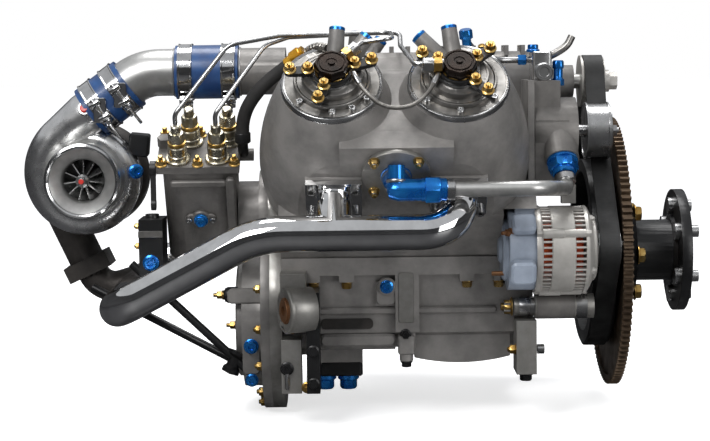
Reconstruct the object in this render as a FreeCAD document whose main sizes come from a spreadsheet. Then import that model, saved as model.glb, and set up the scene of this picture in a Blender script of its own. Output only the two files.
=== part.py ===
import FreeCAD, Part
import math
import os
import re

# An upright 90-degree V4 two-stroke aircraft diesel: liquid cooled, turbocharged and supercharged.
# The frame: the crank axis is X, +X points at the propeller, +Z is up, and the origin is the centre of
# the propeller flange's front face. The near bank leans to -Y and the far bank to +Y.

doc = FreeCAD.newDocument("aircraft_engine")
sheet = doc.addObject("Spreadsheet::Sheet", "dims")
aliases = []
sub_parts = []

X_AXIS = FreeCAD.Vector(1, 0, 0)
Y_AXIS = FreeCAD.Vector(0, 1, 0)
Z_AXIS = FreeCAD.Vector(0, 0, 1)
TOWARD = {
    "x": FreeCAD.Rotation(Y_AXIS, 90),
    "-x": FreeCAD.Rotation(Y_AXIS, -90),
    "y": FreeCAD.Rotation(X_AXIS, -90),
    "-y": FreeCAD.Rotation(X_AXIS, 90),
    "z": FreeCAD.Rotation(),
    "-z": FreeCAD.Rotation(X_AXIS, 180),
}
ORIGIN = (0, 0, 0)


# ---------------------------------------------------------------- sheet and building helpers

def dimensions(**values):
    """Write driving dimensions, in millimetres, degrees or counts, to the sheet."""
    for alias, value in values.items():
        row = len(aliases) + 1
        sheet.set(f"A{row}", alias)
        sheet.set(f"B{row}", str(value))
        sheet.setAlias(f"B{row}", alias)
        aliases.append(alias)
    sheet.recompute()


def dim(alias):
    """Read one dimension back from the sheet."""
    return float(getattr(sheet, alias))


def bind(obj, prop, formula):
    """Bind a property to a formula whose words are the sheet's aliases."""
    text = re.sub(r"[a-z_][a-z_0-9]*", lambda word: "dims." + word[0] if word[0] in aliases else word[0],
                  str(formula))
    obj.setExpression(prop, text)


def place(obj, at=ORIGIN, turn=None):
    """Set an object's turn, and bind its place to three formulas."""
    obj.Placement = FreeCAD.Placement(FreeCAD.Vector(), turn or FreeCAD.Rotation())
    for axis, formula in zip("xyz", at):
        bind(obj, "Placement.Base." + axis, formula)
    return obj


def rod(radius, length, at=ORIGIN, along="z"):
    """A cylinder that starts at a point and runs along a direction."""
    obj = doc.addObject("Part::Cylinder", "rod")
    bind(obj, "Radius", radius)
    bind(obj, "Height", length)
    return place(obj, at, direction(along))


def taper(start_radius, end_radius, length, at=ORIGIN, along="z"):
    """A cone or frustum that starts at a point and runs along a direction."""
    obj = doc.addObject("Part::Cone", "taper")
    bind(obj, "Radius1", start_radius)
    bind(obj, "Radius2", end_radius)
    bind(obj, "Height", length)
    return place(obj, at, direction(along))


def box(length, width, height, corner=ORIGIN):
    """A box from its lowest corner."""
    obj = doc.addObject("Part::Box", "box")
    bind(obj, "Length", length)
    bind(obj, "Width", width)
    bind(obj, "Height", height)
    return place(obj, corner)


def hexagon(radius, length, at=ORIGIN, along="z", sides=6):
    """A regular prism, such as a nut or a bolt head, by its corner radius."""
    obj = doc.addObject("Part::Prism", "hexagon")
    obj.Polygon = sides
    bind(obj, "Circumradius", radius)
    bind(obj, "Height", length)
    return place(obj, at, direction(along))


def ring(radius, section, at=ORIGIN, along="z"):
    """A torus by its circle radius and its section radius."""
    obj = doc.addObject("Part::Torus", "ring")
    bind(obj, "Radius1", radius)
    bind(obj, "Radius2", section)
    return place(obj, at, direction(along))


def direction(along):
    """A rotation that turns +Z to a named axis or to a vector."""
    if isinstance(along, str):
        return TOWARD[along]
    return FreeCAD.Rotation(Z_AXIS, FreeCAD.Vector(*along))


def fuse(*pieces):
    """Join pieces into one solid."""
    obj = doc.addObject("Part::MultiFuse", "fuse")
    obj.Shapes = list(pieces)
    return obj


def group(*pieces):
    """Hold separate solids together in one object."""
    obj = doc.addObject("Part::Compound", "group")
    obj.Links = list(pieces)
    return obj


def cut(base, *tools):
    """Take tools away from a base."""
    obj = doc.addObject("Part::Cut", "cut")
    obj.Base = base
    obj.Tool = tools[0] if len(tools) == 1 else group(*tools)
    return obj


def overlap(first, second):
    """Keep what two pieces share."""
    obj = doc.addObject("Part::Common", "overlap")
    obj.Base = first
    obj.Tool = second
    return obj


def solid(shape):
    """Hold a shape made with Part's own functions."""
    obj = doc.addObject("Part::Feature", "solid")
    obj.Shape = shape
    return obj


def moved(piece, at=ORIGIN, turn=None):
    """A copy of a piece at another place."""
    return place(group(piece), at, turn)


def mirrored(piece):
    """The piece reflected from the near side to the far side."""
    obj = doc.addObject("Part::Mirroring", "mirrored")
    obj.Source = piece
    obj.Normal = Y_AXIS
    return obj


def around_x(count, first=0):
    """Evenly spaced turns about the crank axis direction."""
    return [FreeCAD.Rotation(X_AXIS, first + 360 * index / count) for index in range(count)]


def publish(label, obj):
    """Name a finished sub-part."""
    obj.Label = label
    sub_parts.append(obj)
    return obj


def tube_shape(points, bends, radius):
    """Straight runs joined by tangent arcs of the given radii, all of one round section."""
    corners = [FreeCAD.Vector(*point) for point in points]
    pieces = []
    start = corners[0]
    for corner, following, bend in zip(corners[1:-1], corners[2:], bends):
        before = (corner - start).normalize()
        after = (following - corner).normalize()
        turn = before.getAngle(after)
        reach = bend * math.tan(turn / 2)
        arc_start = corner - before * reach
        pieces.append(Part.makeCylinder(radius, arc_start.distanceToPoint(start), start, before))
        side = (after - before * before.dot(after)).normalize()
        disc = Part.Face(Part.Wire(Part.makeCircle(radius, arc_start, before)))
        pieces.append(disc.revolve(arc_start + side * bend, before.cross(after), math.degrees(turn)))
        start = corner + after * reach
    last = corners[-1] - start
    pieces.append(Part.makeCylinder(radius, last.Length, start, last))
    return pieces[0].multiFuse(pieces[1:]) if len(pieces) > 1 else pieces[0]


def profile_x(points, start, length):
    """A polygon in the YZ plane carried along X."""
    corners = [FreeCAD.Vector(start, y, z) for y, z in points]
    face = Part.Face(Part.makePolygon(corners + corners[:1]))
    return solid(face.extrude(FreeCAD.Vector(length, 0, 0)))


def toothed_shape(root, tip, count, start, length, first=0):
    """A disc along X with straight-sided teeth; a gap is centred on the first angle."""
    corners = []
    for tooth in range(count):
        for fraction, radius in ((0.18, root), (0.38, tip), (0.62, tip), (0.82, root)):
            angle = 2 * math.pi * (tooth + fraction) / count + first
            corners.append(FreeCAD.Vector(start, radius * math.cos(angle), radius * math.sin(angle)))
    face = Part.Face(Part.makePolygon(corners + corners[:1]))
    return face.extrude(FreeCAD.Vector(length, 0, 0))


# ---------------------------------------------------------------- crankshaft, drive end and propeller hub

dimensions(
    flange_radius=83, flange_thick=14, lug_circle=60.325, lug_radius=8, lug_seat=9.5, lug_reach=12, lug_head=6,
    hub_tube_radius=41.5, hub_face=-70.6, hub_rear_radius=72, hub_bore=20, hub_chamfer=8,
    ring_front=-94.4, ring_rear=-106.7, ring_tip=182.6, ring_root=176.4, ring_teeth=122, ring_rim=150,
    ring_web=4.5,
    drum_rear=-139, drum_radius=126, drum_wall=17, drum_web=5.3,
    bolt_circle=61, bolt_radius=5, bolt_head_radius=10.4, bolt_head=9,
    crank_flange_rear=-124, crank_flange_radius=71, register_radius=25,
)
dimensions(
    case_rear=-545, case_front=-217, cylinder_rear=-474, cylinder_front=-319, bank_shift=24,
    bank_angle=45, crank_throw=47.5, journal_radius=30, pin_radius=26, web_radius=80, web_thick=22,
    running_gap=0.05, shell_wall=4, crank_rear_end=-575, gear_rear=-571, gear_thick=20,
    gear_radius=49.6, gear_root=44.6, gear_teeth=32,
    cavity_radius=92, fuel_gear_y=-70, fuel_gear_z=64.4,
)

bolt_turns = around_x(6)
lug_turns = around_x(6, 30)


def about_crank(make, turns):
    """Copies of a piece turned about the crank axis."""
    return [moved(make(), turn=turn) for turn in turns]


lug_holes = group(*about_crank(
    lambda: rod("lug_seat", "flange_thick + 2", ("-flange_thick - 1", "lug_circle", 0), "x"),
    lug_turns))
bolt_holes = group(*about_crank(
    lambda: rod("bolt_radius + running_gap", "hub_face - crank_flange_rear + 2",
                ("crank_flange_rear - 1", "bolt_circle", 0), "x"), bolt_turns))

hub_blank = fuse(
    rod("flange_radius", "flange_thick", ("-flange_thick", 0, 0), "x"),
    rod("hub_tube_radius", "-flange_thick - hub_face + 2", ("hub_face - 1", 0, 0), "x"),
    rod("hub_rear_radius", "hub_face - ring_front - hub_chamfer", ("ring_front", 0, 0), "x"),
    taper("hub_rear_radius", "hub_rear_radius - hub_chamfer", "hub_chamfer", ("hub_face - hub_chamfer", 0, 0), "x"),
)
hub_hollow = fuse(
    rod("hub_bore", "-ring_front + 2", ("ring_front - 1", 0, 0), "x"),
    rod("register_radius + running_gap", "12", ("ring_front - 1", 0, 0), "x"),
)
publish("propeller_hub", cut(hub_blank, hub_hollow, lug_holes, bolt_holes))

publish("drive_lugs", group(*about_crank(
    lambda: fuse(
        rod("lug_radius", "flange_thick + lug_reach", ("-flange_thick", "lug_circle", 0), "x"),
        rod("lug_seat", "flange_thick", ("-flange_thick", "lug_circle", 0), "x"),
        rod("lug_seat + 2", "lug_head", ("-flange_thick - lug_head", "lug_circle", 0), "x")),
    lug_turns)))
publish("hub_bolts", group(*about_crank(
    lambda: fuse(
        rod("bolt_radius", "hub_face - crank_flange_rear", ("crank_flange_rear", "bolt_circle", 0), "x"),
        rod("bolt_head_radius + 1.4", "2", ("hub_face", "bolt_circle", 0), "x"),
        hexagon("bolt_head_radius", "bolt_head", ("hub_face + 1", "bolt_circle", 0), "x")),
    bolt_turns)))

ring_blank = solid(toothed_shape(dim("ring_root"), dim("ring_tip"), int(dim("ring_teeth")), dim("ring_rear"),
                                 dim("ring_front") - dim("ring_rear")))
ring_recess = cut(
    rod("ring_rim + 20", "ring_web", ("ring_rear - 1", 0, 0), "x"),
    rod("hub_rear_radius + 12", "ring_web + 2", ("ring_rear - 2", 0, 0), "x"))
publish("ring_gear", cut(ring_blank, ring_recess,
                         rod("register_radius + running_gap", "20", ("ring_rear - 2", 0, 0), "x"), bolt_holes))

drum_blank = rod("drum_radius", "ring_rear - drum_rear", ("drum_rear", 0, 0), "x")
drum_cup = rod("drum_radius - drum_wall", "ring_rear - drum_rear - drum_web + 1", ("drum_rear - 1", 0, 0), "x")
publish("crank_pulley", cut(drum_blank, drum_cup,
                            rod("register_radius + running_gap", "40", ("drum_rear", 0, 0), "x"), bolt_holes))

near_turn = FreeCAD.Rotation(X_AXIS, dim("bank_angle"))
far_turn = FreeCAD.Rotation(X_AXIS, -dim("bank_angle"))
pin_up = near_turn
pin_down = FreeCAD.Rotation(X_AXIS, dim("bank_angle") + 180)


def crank_throw(centre, turn):
    """One crank pin between two webs, each with its counterweight opposite the pin."""
    half = "bank_shift"
    webs = []
    for start in (f"{centre} - {half} - web_thick", f"{centre} + {half}"):
        cheek = fuse(
            rod("pin_radius + 12", "web_thick", (start, 0, "crank_throw"), "x"),
            rod("journal_radius + 12", "web_thick", (start, 0, 0), "x"),
            box("web_thick", "2 * pin_radius + 20", "crank_throw", (start, "-pin_radius - 10", 0)))
        weight = overlap(
            rod("web_radius", "web_thick", (start, 0, 0), "x"),
            box("web_thick", "2 * web_radius", "web_radius", (start, "-web_radius", "-web_radius - 8")))
        webs += [cheek, weight]
    pin = rod("pin_radius", f"2 * {half} + 2", (f"{centre} - {half} - 1", 0, "crank_throw"), "x")
    return moved(fuse(pin, *webs), turn=turn)


rear_pin = "(cylinder_rear + bank_shift / 2)"
front_pin = "(cylinder_front + bank_shift / 2)"
mesh_angle = math.atan2(dim("fuel_gear_z"), dim("fuel_gear_y"))
half_tooth = math.pi / dim("gear_teeth")


def timing_gear(first):
    """One of the two equal timing gears, about the X axis."""
    return solid(toothed_shape(dim("gear_root"), dim("gear_radius"), int(dim("gear_teeth")), dim("gear_rear"),
                               dim("gear_thick"), first))


publish("crankshaft", cut(
    fuse(
        rod("journal_radius", f"{rear_pin} - bank_shift - web_thick - crank_rear_end + 1",
            ("crank_rear_end", 0, 0), "x"),
        rod("journal_radius", f"{front_pin} - {rear_pin} - 2 * bank_shift - 2 * web_thick + 2",
            (f"{rear_pin} + bank_shift + web_thick - 1", 0, 0), "x"),
        rod("journal_radius", f"crank_flange_rear - {front_pin} - bank_shift - web_thick + 2",
            (f"{front_pin} + bank_shift + web_thick - 1", 0, 0), "x"),
        crank_throw(rear_pin, pin_up),
        crank_throw(front_pin, pin_down),
        rod("crank_flange_radius", "ring_rear - drum_web - crank_flange_rear", ("crank_flange_rear", 0, 0), "x"),
        rod("register_radius", "ring_front - crank_flange_rear + 8", ("crank_flange_rear", 0, 0), "x"),
        timing_gear(mesh_angle + half_tooth)),
    bolt_holes))

# ---------------------------------------------------------------- cylinder banks, liners, pistons and rods

dimensions(
    bore_radius=54, liner_wall=6, liner_foot=112, liner_top=300, rod_length=190, crown_height=60,
    skirt_drop=35, piston_gap=0.08, piston_pin_radius=14, rod_width=22, rod_eye=20, big_end_radius=34,
    head_seat=320, head_plate_radius=58, head_plate_top=336, lip_radius=62, lip_top=332,
    barrel_radius=95.5, barrel_peak=195, barrel_mid_radius=86, barrel_mid=270, barrel_foot_radius=80,
    barrel_foot=110, slab_top=308, facet=84, inner_facet=78, slab_inset=8,
    port_height=226, port_radius=19, port_pad=4, port_flange_length=70, port_flange_width=60,
    port_flange_thick=8,
    rail_width=132, rail_bottom=-14,
)


def barrel_shape():
    """The round water jacket of one cylinder, standing on the crank axis along Z."""
    top = FreeCAD.Vector(dim("lip_radius"), 0, dim("lip_top"))
    middle = FreeCAD.Vector(dim("barrel_mid_radius"), 0, dim("barrel_mid"))
    peak = FreeCAD.Vector(dim("barrel_radius"), 0, dim("barrel_peak"))
    low_middle = FreeCAD.Vector(dim("barrel_radius") - 3.5, 0, dim("barrel_foot") + 50)
    foot = FreeCAD.Vector(dim("barrel_foot_radius"), 0, dim("barrel_foot"))
    axis_top = FreeCAD.Vector(0, 0, dim("lip_top"))
    axis_foot = FreeCAD.Vector(0, 0, dim("barrel_foot"))
    edges = [
        Part.makeLine(axis_foot, foot),
        Part.Arc(foot, low_middle, peak).toShape(),
        Part.Arc(peak, middle, top).toShape(),
        Part.makeLine(top, axis_top),
        Part.makeLine(axis_top, axis_foot),
    ]
    return Part.Face(Part.Wire(edges)).revolve(FreeCAD.Vector(), Z_AXIS, 360)


def bank_body(shift):
    """One upright bank: two barrels and the slab between them, cut flat on both sides."""
    barrels = []
    for station in ("cylinder_rear", "cylinder_front"):
        barrels.append(place(group(solid(barrel_shape())), (f"{station} + {shift}", 0, 0)))
    slab = box("cylinder_front - cylinder_rear - 2 * slab_inset", "facet + inner_facet", "slab_top - 60",
               (f"cylinder_rear + slab_inset + {shift}", "-facet", 60))
    foot = box("case_front - case_rear", "facet + inner_facet", "barrel_foot + 30",
               ("case_rear", "-facet", 40))
    flats = box("600", "facet + inner_facet", "400", ("case_rear - 100", "-facet", 0))
    return fuse(overlap(fuse(*barrels), flats), slab, foot)


def bank_parts(shift, make):
    """A piece for each cylinder of an upright bank."""
    return [make(f"({station} + {shift})") for station in ("cylinder_rear", "cylinder_front")]


def liner(station):
    return cut(
        rod("bore_radius + liner_wall", "liner_top - liner_foot", (station, 0, "liner_foot")),
        rod("bore_radius", "liner_top - liner_foot + 2", (station, 0, "liner_foot - 1")),
        rod("port_radius", "2 * (bore_radius + liner_wall)", (station, 0, "port_height"), "-y"))


def bank_space(station):
    """What one cylinder takes away from the block: liner, head and exhaust port."""
    return fuse(
        rod("bore_radius + liner_wall", "liner_top - liner_foot + 60", (station, 0, "liner_foot - 60")),
        rod("head_plate_radius + running_gap", "40", (station, 0, "head_seat")),
        rod("bore_radius + liner_wall", "head_seat - liner_top + 1", (station, 0, "liner_top")),
        rod("port_radius", "facet + 20", (station, 0, "port_height"), "-y"))


def port_pad(station):
    return box("port_flange_length", "port_pad + 10", "port_flange_width",
               (f"{station} - port_flange_length / 2", "-facet - port_pad", "port_height - port_flange_width / 2"))


def near(*pieces):
    return [moved(piece, turn=near_turn) for piece in pieces]


def far(*pieces):
    """Upright pieces laid to the far side: reflected, so that their outer side stays outside."""
    return [moved(mirrored(piece), turn=far_turn) for piece in pieces]


near_shift, far_shift = "0", "bank_shift"
liners = group(*near(*bank_parts(near_shift, liner)), *far(*bank_parts(far_shift, liner)))
publish("cylinder_liners", liners)

# The rear pin points up the near bank at rest, so the near rear piston is at the top, the near front one
# at the bottom, and both far pistons are half way.
dimensions(pin_top=237.5, pin_bottom=142.5, pin_middle=183.97)
near_pins = (("cylinder_rear", "pin_top"), ("cylinder_front", "pin_bottom"))
far_pins = (("cylinder_rear + bank_shift", "pin_middle"), ("cylinder_front + bank_shift", "pin_middle"))


def piston(station, height):
    crown = rod("bore_radius - piston_gap", "crown_height + skirt_drop", (station, 0, f"{height} - skirt_drop"))
    hollow = rod("bore_radius - 8", "skirt_drop + crown_height - 14", (station, 0, f"{height} - skirt_drop - 1"))
    bosses = rod("piston_pin_radius + 8", "2 * bore_radius - 6", (f"{station} - bore_radius + 3", 0, height), "x")
    gap = box("rod_width + 2", "2 * bore_radius", "skirt_drop + 40",
              (f"{station} - rod_width / 2 - 1", "-bore_radius", f"{height} - skirt_drop"))
    hole = rod("piston_pin_radius", "2 * bore_radius", (f"{station} - bore_radius", 0, height), "x")
    return cut(fuse(cut(crown, hollow), overlap(cut(bosses, gap), crown)), hole)


def piston_pin(station, height):
    length = "2 * (bore_radius - 6)"
    return cut(
        rod("piston_pin_radius", length, (f"{station} - bore_radius + 6", 0, height), "x"),
        rod("piston_pin_radius - 6", "2 * bore_radius", (f"{station} - bore_radius", 0, height), "x"))


def each_piston(make):
    near_ones = [make(station, height) for station, height in near_pins]
    far_ones = [make(station, height) for station, height in far_pins]
    return near(*near_ones) + far(*far_ones)


publish("pistons", group(*each_piston(piston)))
publish("piston_pins", group(*each_piston(piston_pin)))


def connecting_rod(station, crank_end, lean):
    """A rod from its crank pin, along its own leaning axis, upright before it is turned to its place."""
    shank = box("rod_width - 8", "24", "rod_length - big_end_radius - rod_eye + 10",
                ("-rod_width / 2 + 4", "-12", "big_end_radius - 5"))
    body = fuse(
        rod("big_end_radius", "rod_width", ("-rod_width / 2", 0, 0), "x"),
        rod("rod_eye + 2", "rod_width", ("-rod_width / 2", 0, "rod_length"), "x"), shank)
    bored = cut(
        body,
        rod("pin_radius + running_gap", "rod_width + 2", ("-rod_width / 2 - 1", 0, 0), "x"),
        rod("piston_pin_radius + running_gap", "rod_width + 2", ("-rod_width / 2 - 1", 0, "rod_length"), "x"))
    return place(bored, (station, *crank_end), FreeCAD.Rotation(X_AXIS, lean))


throw_y = "crank_throw * sin(bank_angle)"
rod_lean = math.degrees(math.asin(dim("crank_throw") / dim("rod_length")))
up_end = (f"-{throw_y}", throw_y)
down_end = (throw_y, f"-{throw_y}")
publish("connecting_rods", group(
    connecting_rod("cylinder_rear", up_end, dim("bank_angle")),
    connecting_rod("cylinder_front", down_end, dim("bank_angle")),
    connecting_rod("cylinder_rear + bank_shift", up_end, -dim("bank_angle") - rod_lean),
    connecting_rod("cylinder_front + bank_shift", down_end, -dim("bank_angle") + rod_lean)))

# ---------------------------------------------------------------- heads, injectors, clamps and screws

dimensions(
    spigot_radius=53.9, head_foot=299, step_radius=43, step_top=342, crown_radius=34, crown_top=349,
    injector_bore=11, injector_cap_radius=20, injector_foot=350, injector_top=372, injector_tip=298.2,
    clamp_height=353, clamp_thick=6, clamp_width=13, clamp_reach=51, clamp_bolt_radius=4,
    clamp_inner_bolt=29, clamp_bolt_head=6.4, clamp_bolt_tall=8,
    horn_radius=9, screw_circle=51.5, screw_radius=4.2, screw_head=4,
)

# Arm angles about each near head's axis, seen from outside: 0 points to +X, 90 to the valley.
REAR_ARMS = (180, 17, -109)
FRONT_ARMS = (150, 39, -50)
# Each coolant horn of a near head: its foot and its open end in the upright bank, beside the head's axis.
REAR_HORNS = (((3, 28, 340), (7, 66, 364)), ((18, 26, 340), (44, 55, 360)))
FRONT_HORNS = (((-14, 26, 340), (-48, 55, 360)), ((-4, 28, 340), (-10, 66, 364)))


def horns(station, ends):
    pieces = []
    for foot, tip in ends:
        start = FreeCAD.Vector(*foot)
        run = FreeCAD.Vector(*tip) - start
        pipe = Part.makeCone(dim("horn_radius") + 2, dim("horn_radius"), run.Length, start, run)
        pieces.append(place(group(solid(pipe)), (station, 0, 0)))
    return pieces


def head(station, ends):
    body = fuse(
        rod("spigot_radius", "head_seat - head_foot + 1", (station, 0, "head_foot")),
        rod("head_plate_radius", "head_plate_top - head_seat", (station, 0, "head_seat")),
        rod("step_radius", "step_top - head_plate_top + 1", (station, 0, "head_plate_top - 1")),
        rod("crown_radius", "crown_top - step_top + 1", (station, 0, "step_top - 1")),
        *horns(station, ends))
    return cut(body, rod("injector_bore", "120", (station, 0, "head_foot - 20")))


def injector(station):
    return fuse(
        rod("injector_bore", "injector_foot - head_foot + 1", (station, 0, "head_foot")),
        rod("4", "head_foot - injector_tip + 1", (station, 0, "injector_tip")),
        hexagon("injector_cap_radius + 1.6", "injector_top - injector_foot", (station, 0, "injector_foot"), sides=8))


def clamp(station, angles):
    """Three arms from one ring round the injector."""
    arms = []
    for angle in angles:
        arm = fuse(
            box("clamp_reach - injector_cap_radius", "clamp_width", "clamp_thick",
                ("injector_cap_radius", "-clamp_width / 2", 0)),
            rod("clamp_width / 2", "clamp_thick", ("clamp_reach", 0, 0)))
        arms.append(place(group(arm), (station, 0, "clamp_height"), FreeCAD.Rotation(Z_AXIS, angle)))
    body = fuse(rod("injector_cap_radius + 5", "clamp_thick", (station, 0, "clamp_height")), *arms)
    return cut(body, rod("injector_cap_radius + 2", "clamp_thick + 2", (station, 0, "clamp_height - 1")),
               *clamp_bolts(station, angles))


def clamp_bolts(station, angles):
    bolts = []
    for angle in angles:
        for reach, foot in (("clamp_reach", "head_plate_top"), ("clamp_inner_bolt", "crown_top")):
            bolt = fuse(
                rod("clamp_bolt_radius", f"clamp_height + clamp_thick - {foot} + 1", (reach, 0, foot)),
                hexagon("clamp_bolt_head", "clamp_bolt_tall", (reach, 0, "clamp_height + clamp_thick")))
            bolts.append(place(group(bolt), (station, 0, 0), FreeCAD.Rotation(Z_AXIS, angle)))
    return bolts


def head_screws(station, angles):
    screws = []
    for angle in (-90, -62, -35, -140, 155, 25):
        if min(abs((angle - arm + 180) % 360 - 180) for arm in angles) > 14:
            screw = rod("screw_radius", "screw_head", ("screw_circle", 0, "head_plate_top"))
            screws.append(place(group(screw), (station, 0, 0), FreeCAD.Rotation(Z_AXIS, angle)))
    return screws


head_plan = (
    ("near_rear", near, "cylinder_rear", REAR_HORNS, REAR_ARMS),
    ("near_front", near, "cylinder_front", FRONT_HORNS, FRONT_ARMS),
    ("far_rear", far, "(cylinder_rear + bank_shift)", REAR_HORNS, REAR_ARMS),
    ("far_front", far, "(cylinder_front + bank_shift)", FRONT_HORNS, FRONT_ARMS),
)
heads, injectors, clamps, gold_bolts, silver_screws = [], [], [], [], []
for name, side, station, ends, angles in head_plan:
    heads.append(publish(f"{name}_head", side(head(station, ends))[0]))
    injectors += side(injector(station))
    clamps += side(clamp(station, angles))
    gold_bolts += side(*clamp_bolts(station, angles))
    silver_screws += side(*head_screws(station, angles))
publish("injectors", group(*injectors))
publish("injector_clamps", group(*clamps))
publish("clamp_bolts", group(*gold_bolts))

# ---------------------------------------------------------------- accessory places that the castings make room for

dimensions(
    belt_rear=-137, belt_width=26, belt_thick=3,
    alternator_y=-155, alternator_z=20, alternator_radius=55, alternator_pulley=24,
    alternator_rear=-254, alternator_split=-217, alternator_front=-153, alternator_nose=-146,
    pump_y=-105, pump_z=169, pump_pulley=35,
    blower_z=232, rotor_spacing=52, blower_pulley_radius=32, blower_half_width=42, rotor_bore=30.5,
    lobe_radius=10, lobe_circle=20, rotor_core=14,
    blower_rear=-540, blower_front=-205, duct_z=251, duct_radius=31.75, duct_wall=2.5,
    turbo_x=-812, turbo_z=108, turbine_y=95,
    outlet_boss=40, outlet_nut=20, outlet_nut_radius=19,
)
outlet_root = FreeCAD.Vector(-184, dim("pump_y") - 22, dim("pump_z") - 4)
outlet_down = FreeCAD.Vector(0.05, -0.62, -0.783).normalize()
boss_end = outlet_root + outlet_down * dim("outlet_boss")

# ---------------------------------------------------------------- cylinder block and lower crankcase

gear_space = fuse(
    rod("gear_radius + 4", "gear_thick + 5", ("gear_rear - 1", 0, 0), "x"),
    rod("gear_radius + 3", "gear_thick + 5", ("gear_rear - 1", "fuel_gear_y", "fuel_gear_z"), "x"))
bearing_spans = (("case_rear", 31), (-408, 47), (-255, 38))
cavity_spans = ((-514, 106), (-361, 106))
crank_space = group(*[rod("cavity_radius", length, (start, 0, 0), "x") for start, length in cavity_spans])
shell_space = rod("journal_radius + shell_wall", "case_front - case_rear + 2", ("case_rear - 1", 0, 0), "x")
alternator_pocket = rod("alternator_radius + 5", "60", ("alternator_rear - 6", "alternator_y", "alternator_z"), "x")
publish("main_bearings", group(*[
    cut(rod("journal_radius + shell_wall", length, (start, 0, 0), "x"),
        rod("journal_radius + running_gap", "400", ("case_rear - 20", 0, 0), "x"))
    for start, length in bearing_spans]))

upper_outline = [(-132, 0), (132, 0), (132, 9), (118, 9), (118, 22), (30, 110), (-30, 110),
                 (-118, 22), (-118, 9), (-132, 9)]
upper_case = profile_x(upper_outline, dim("case_rear"), dim("case_front") - dim("case_rear"))
front_pad = box("8", "100", "140", ("case_front - 8", "-150", "96"))
bank_near_body = near(bank_body(near_shift))[0]
bank_far_body = far(bank_body(far_shift))[0]
bank_pads = near(*bank_parts(near_shift, port_pad)) + far(*bank_parts(far_shift, port_pad))
spaces = near(*bank_parts(near_shift, bank_space)) + far(*bank_parts(far_shift, bank_space))
below_split = box("700", "800", "200", ("-700", "-400", "-200"))
publish("cylinder_block", cut(
    fuse(upper_case, bank_near_body, bank_far_body, *bank_pads, front_pad),
    *spaces, crank_space, shell_space, alternator_pocket, gear_space, below_split))
block = sub_parts[-1]

lower_outline = [(-132, 0), (-132, -14), (-121, -14), (-117, -92), (-62, -120), (62, -120), (117, -92), (121, -14),
                 (132, -14), (132, 0)]
lower_case = profile_x(lower_outline, dim("case_rear"), dim("case_front") - dim("case_rear"))
rail_bosses = []
for start, length in ((-512, 17), (-470, 20), (-313, 19), (-269, 15)):
    for side in ("-rail_width", "rail_width - 16"):
        rail_bosses.append(box(length, "16", "9", (start, side, "rail_bottom - 9")))
posts = [box("31", "16", "76", (-397, side, "rail_bottom - 75")) for side in ("-rail_width", "rail_width - 16")]
post_feet = [box("20", "22", "26", (-391, side, -115)) for side in (-128, 106)]
plug_tabs = [box("24", "7", "32", (-422, side, -55)) for side in (-126, 119)]
oil_block = box("58", "40", "22", (-498, -62, -141))
sump_rails = [rod("11", "100", (-497, side, -104), "x") for side in (-108, 108)]
sump_arc = overlap(rod("260", "216", (-311, -108, 126), "y"), box("126", "216", "44", (-372, -108, -134)))
publish("lower_crankcase", cut(
    fuse(lower_case, *rail_bosses, *posts, *post_feet, *plug_tabs, *sump_rails, sump_arc, oil_block),
    crank_space, shell_space, alternator_pocket, gear_space))
lower_block = sub_parts[-1]

# ---------------------------------------------------------------- timing gears, gearcase and injection pump

dimensions(
    gearcase_radius=135, gearcase_z=-75, gearcase_rear=-561, cover_rear=-573, cover_back=-600.5,
    drive_boss=50, cover_back_radius=92, cover_back_z=-88,
    pump_x=-648.5, plate_y=-120, plate_z=151, pump_tilt=30, plate_length=106, plate_depth=81, plate_thick=10,
    pump_length=96, pump_depth=76, pump_height=150, pump_shaft_drop=100, pump_shaft_radius=11,
)


def gearcase_disc(start, length, radius, boss):
    return fuse(rod(radius, length, (start, 0, "gearcase_z"), "x"),
                rod(boss, length, (start, "fuel_gear_y", "fuel_gear_z"), "x"))


rear_shaft_hole = rod("journal_radius + 3", "60", ("crank_rear_end - 2", 0, 0), "x")
publish("rear_gearcase", cut(
    gearcase_disc("gearcase_rear", "case_rear - gearcase_rear", "gearcase_radius", "drive_boss + 6"),
    gear_space, rear_shaft_hole, block, lower_block))
shaft_hole = rod("pump_shaft_radius + running_gap", "60", ("cover_back - 2", "fuel_gear_y", "fuel_gear_z"), "x")
publish("rear_cover", cut(
    fuse(gearcase_disc("cover_rear", "gearcase_rear - cover_rear", "gearcase_radius", "drive_boss + 6"),
         rod("cover_back_radius", "cover_rear - cover_back + 1", ("cover_back", 0, "cover_back_z"), "x"),
         rod("drive_boss - 8", "cover_rear - cover_back + 1", ("cover_back", "fuel_gear_y", "fuel_gear_z"), "x")),
    gear_space, rear_shaft_hole, shaft_hole, block))
back_cover = sub_parts[-1]

pump_turn = FreeCAD.Rotation(X_AXIS, dim("pump_tilt"))
pump_at = ("pump_x", "plate_y", "plate_z")


def on_pump(*pieces):
    """Upright pump pieces, about the middle of the top plate, leaned to their place."""
    return [place(group(piece), pump_at, pump_turn) for piece in pieces]


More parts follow.
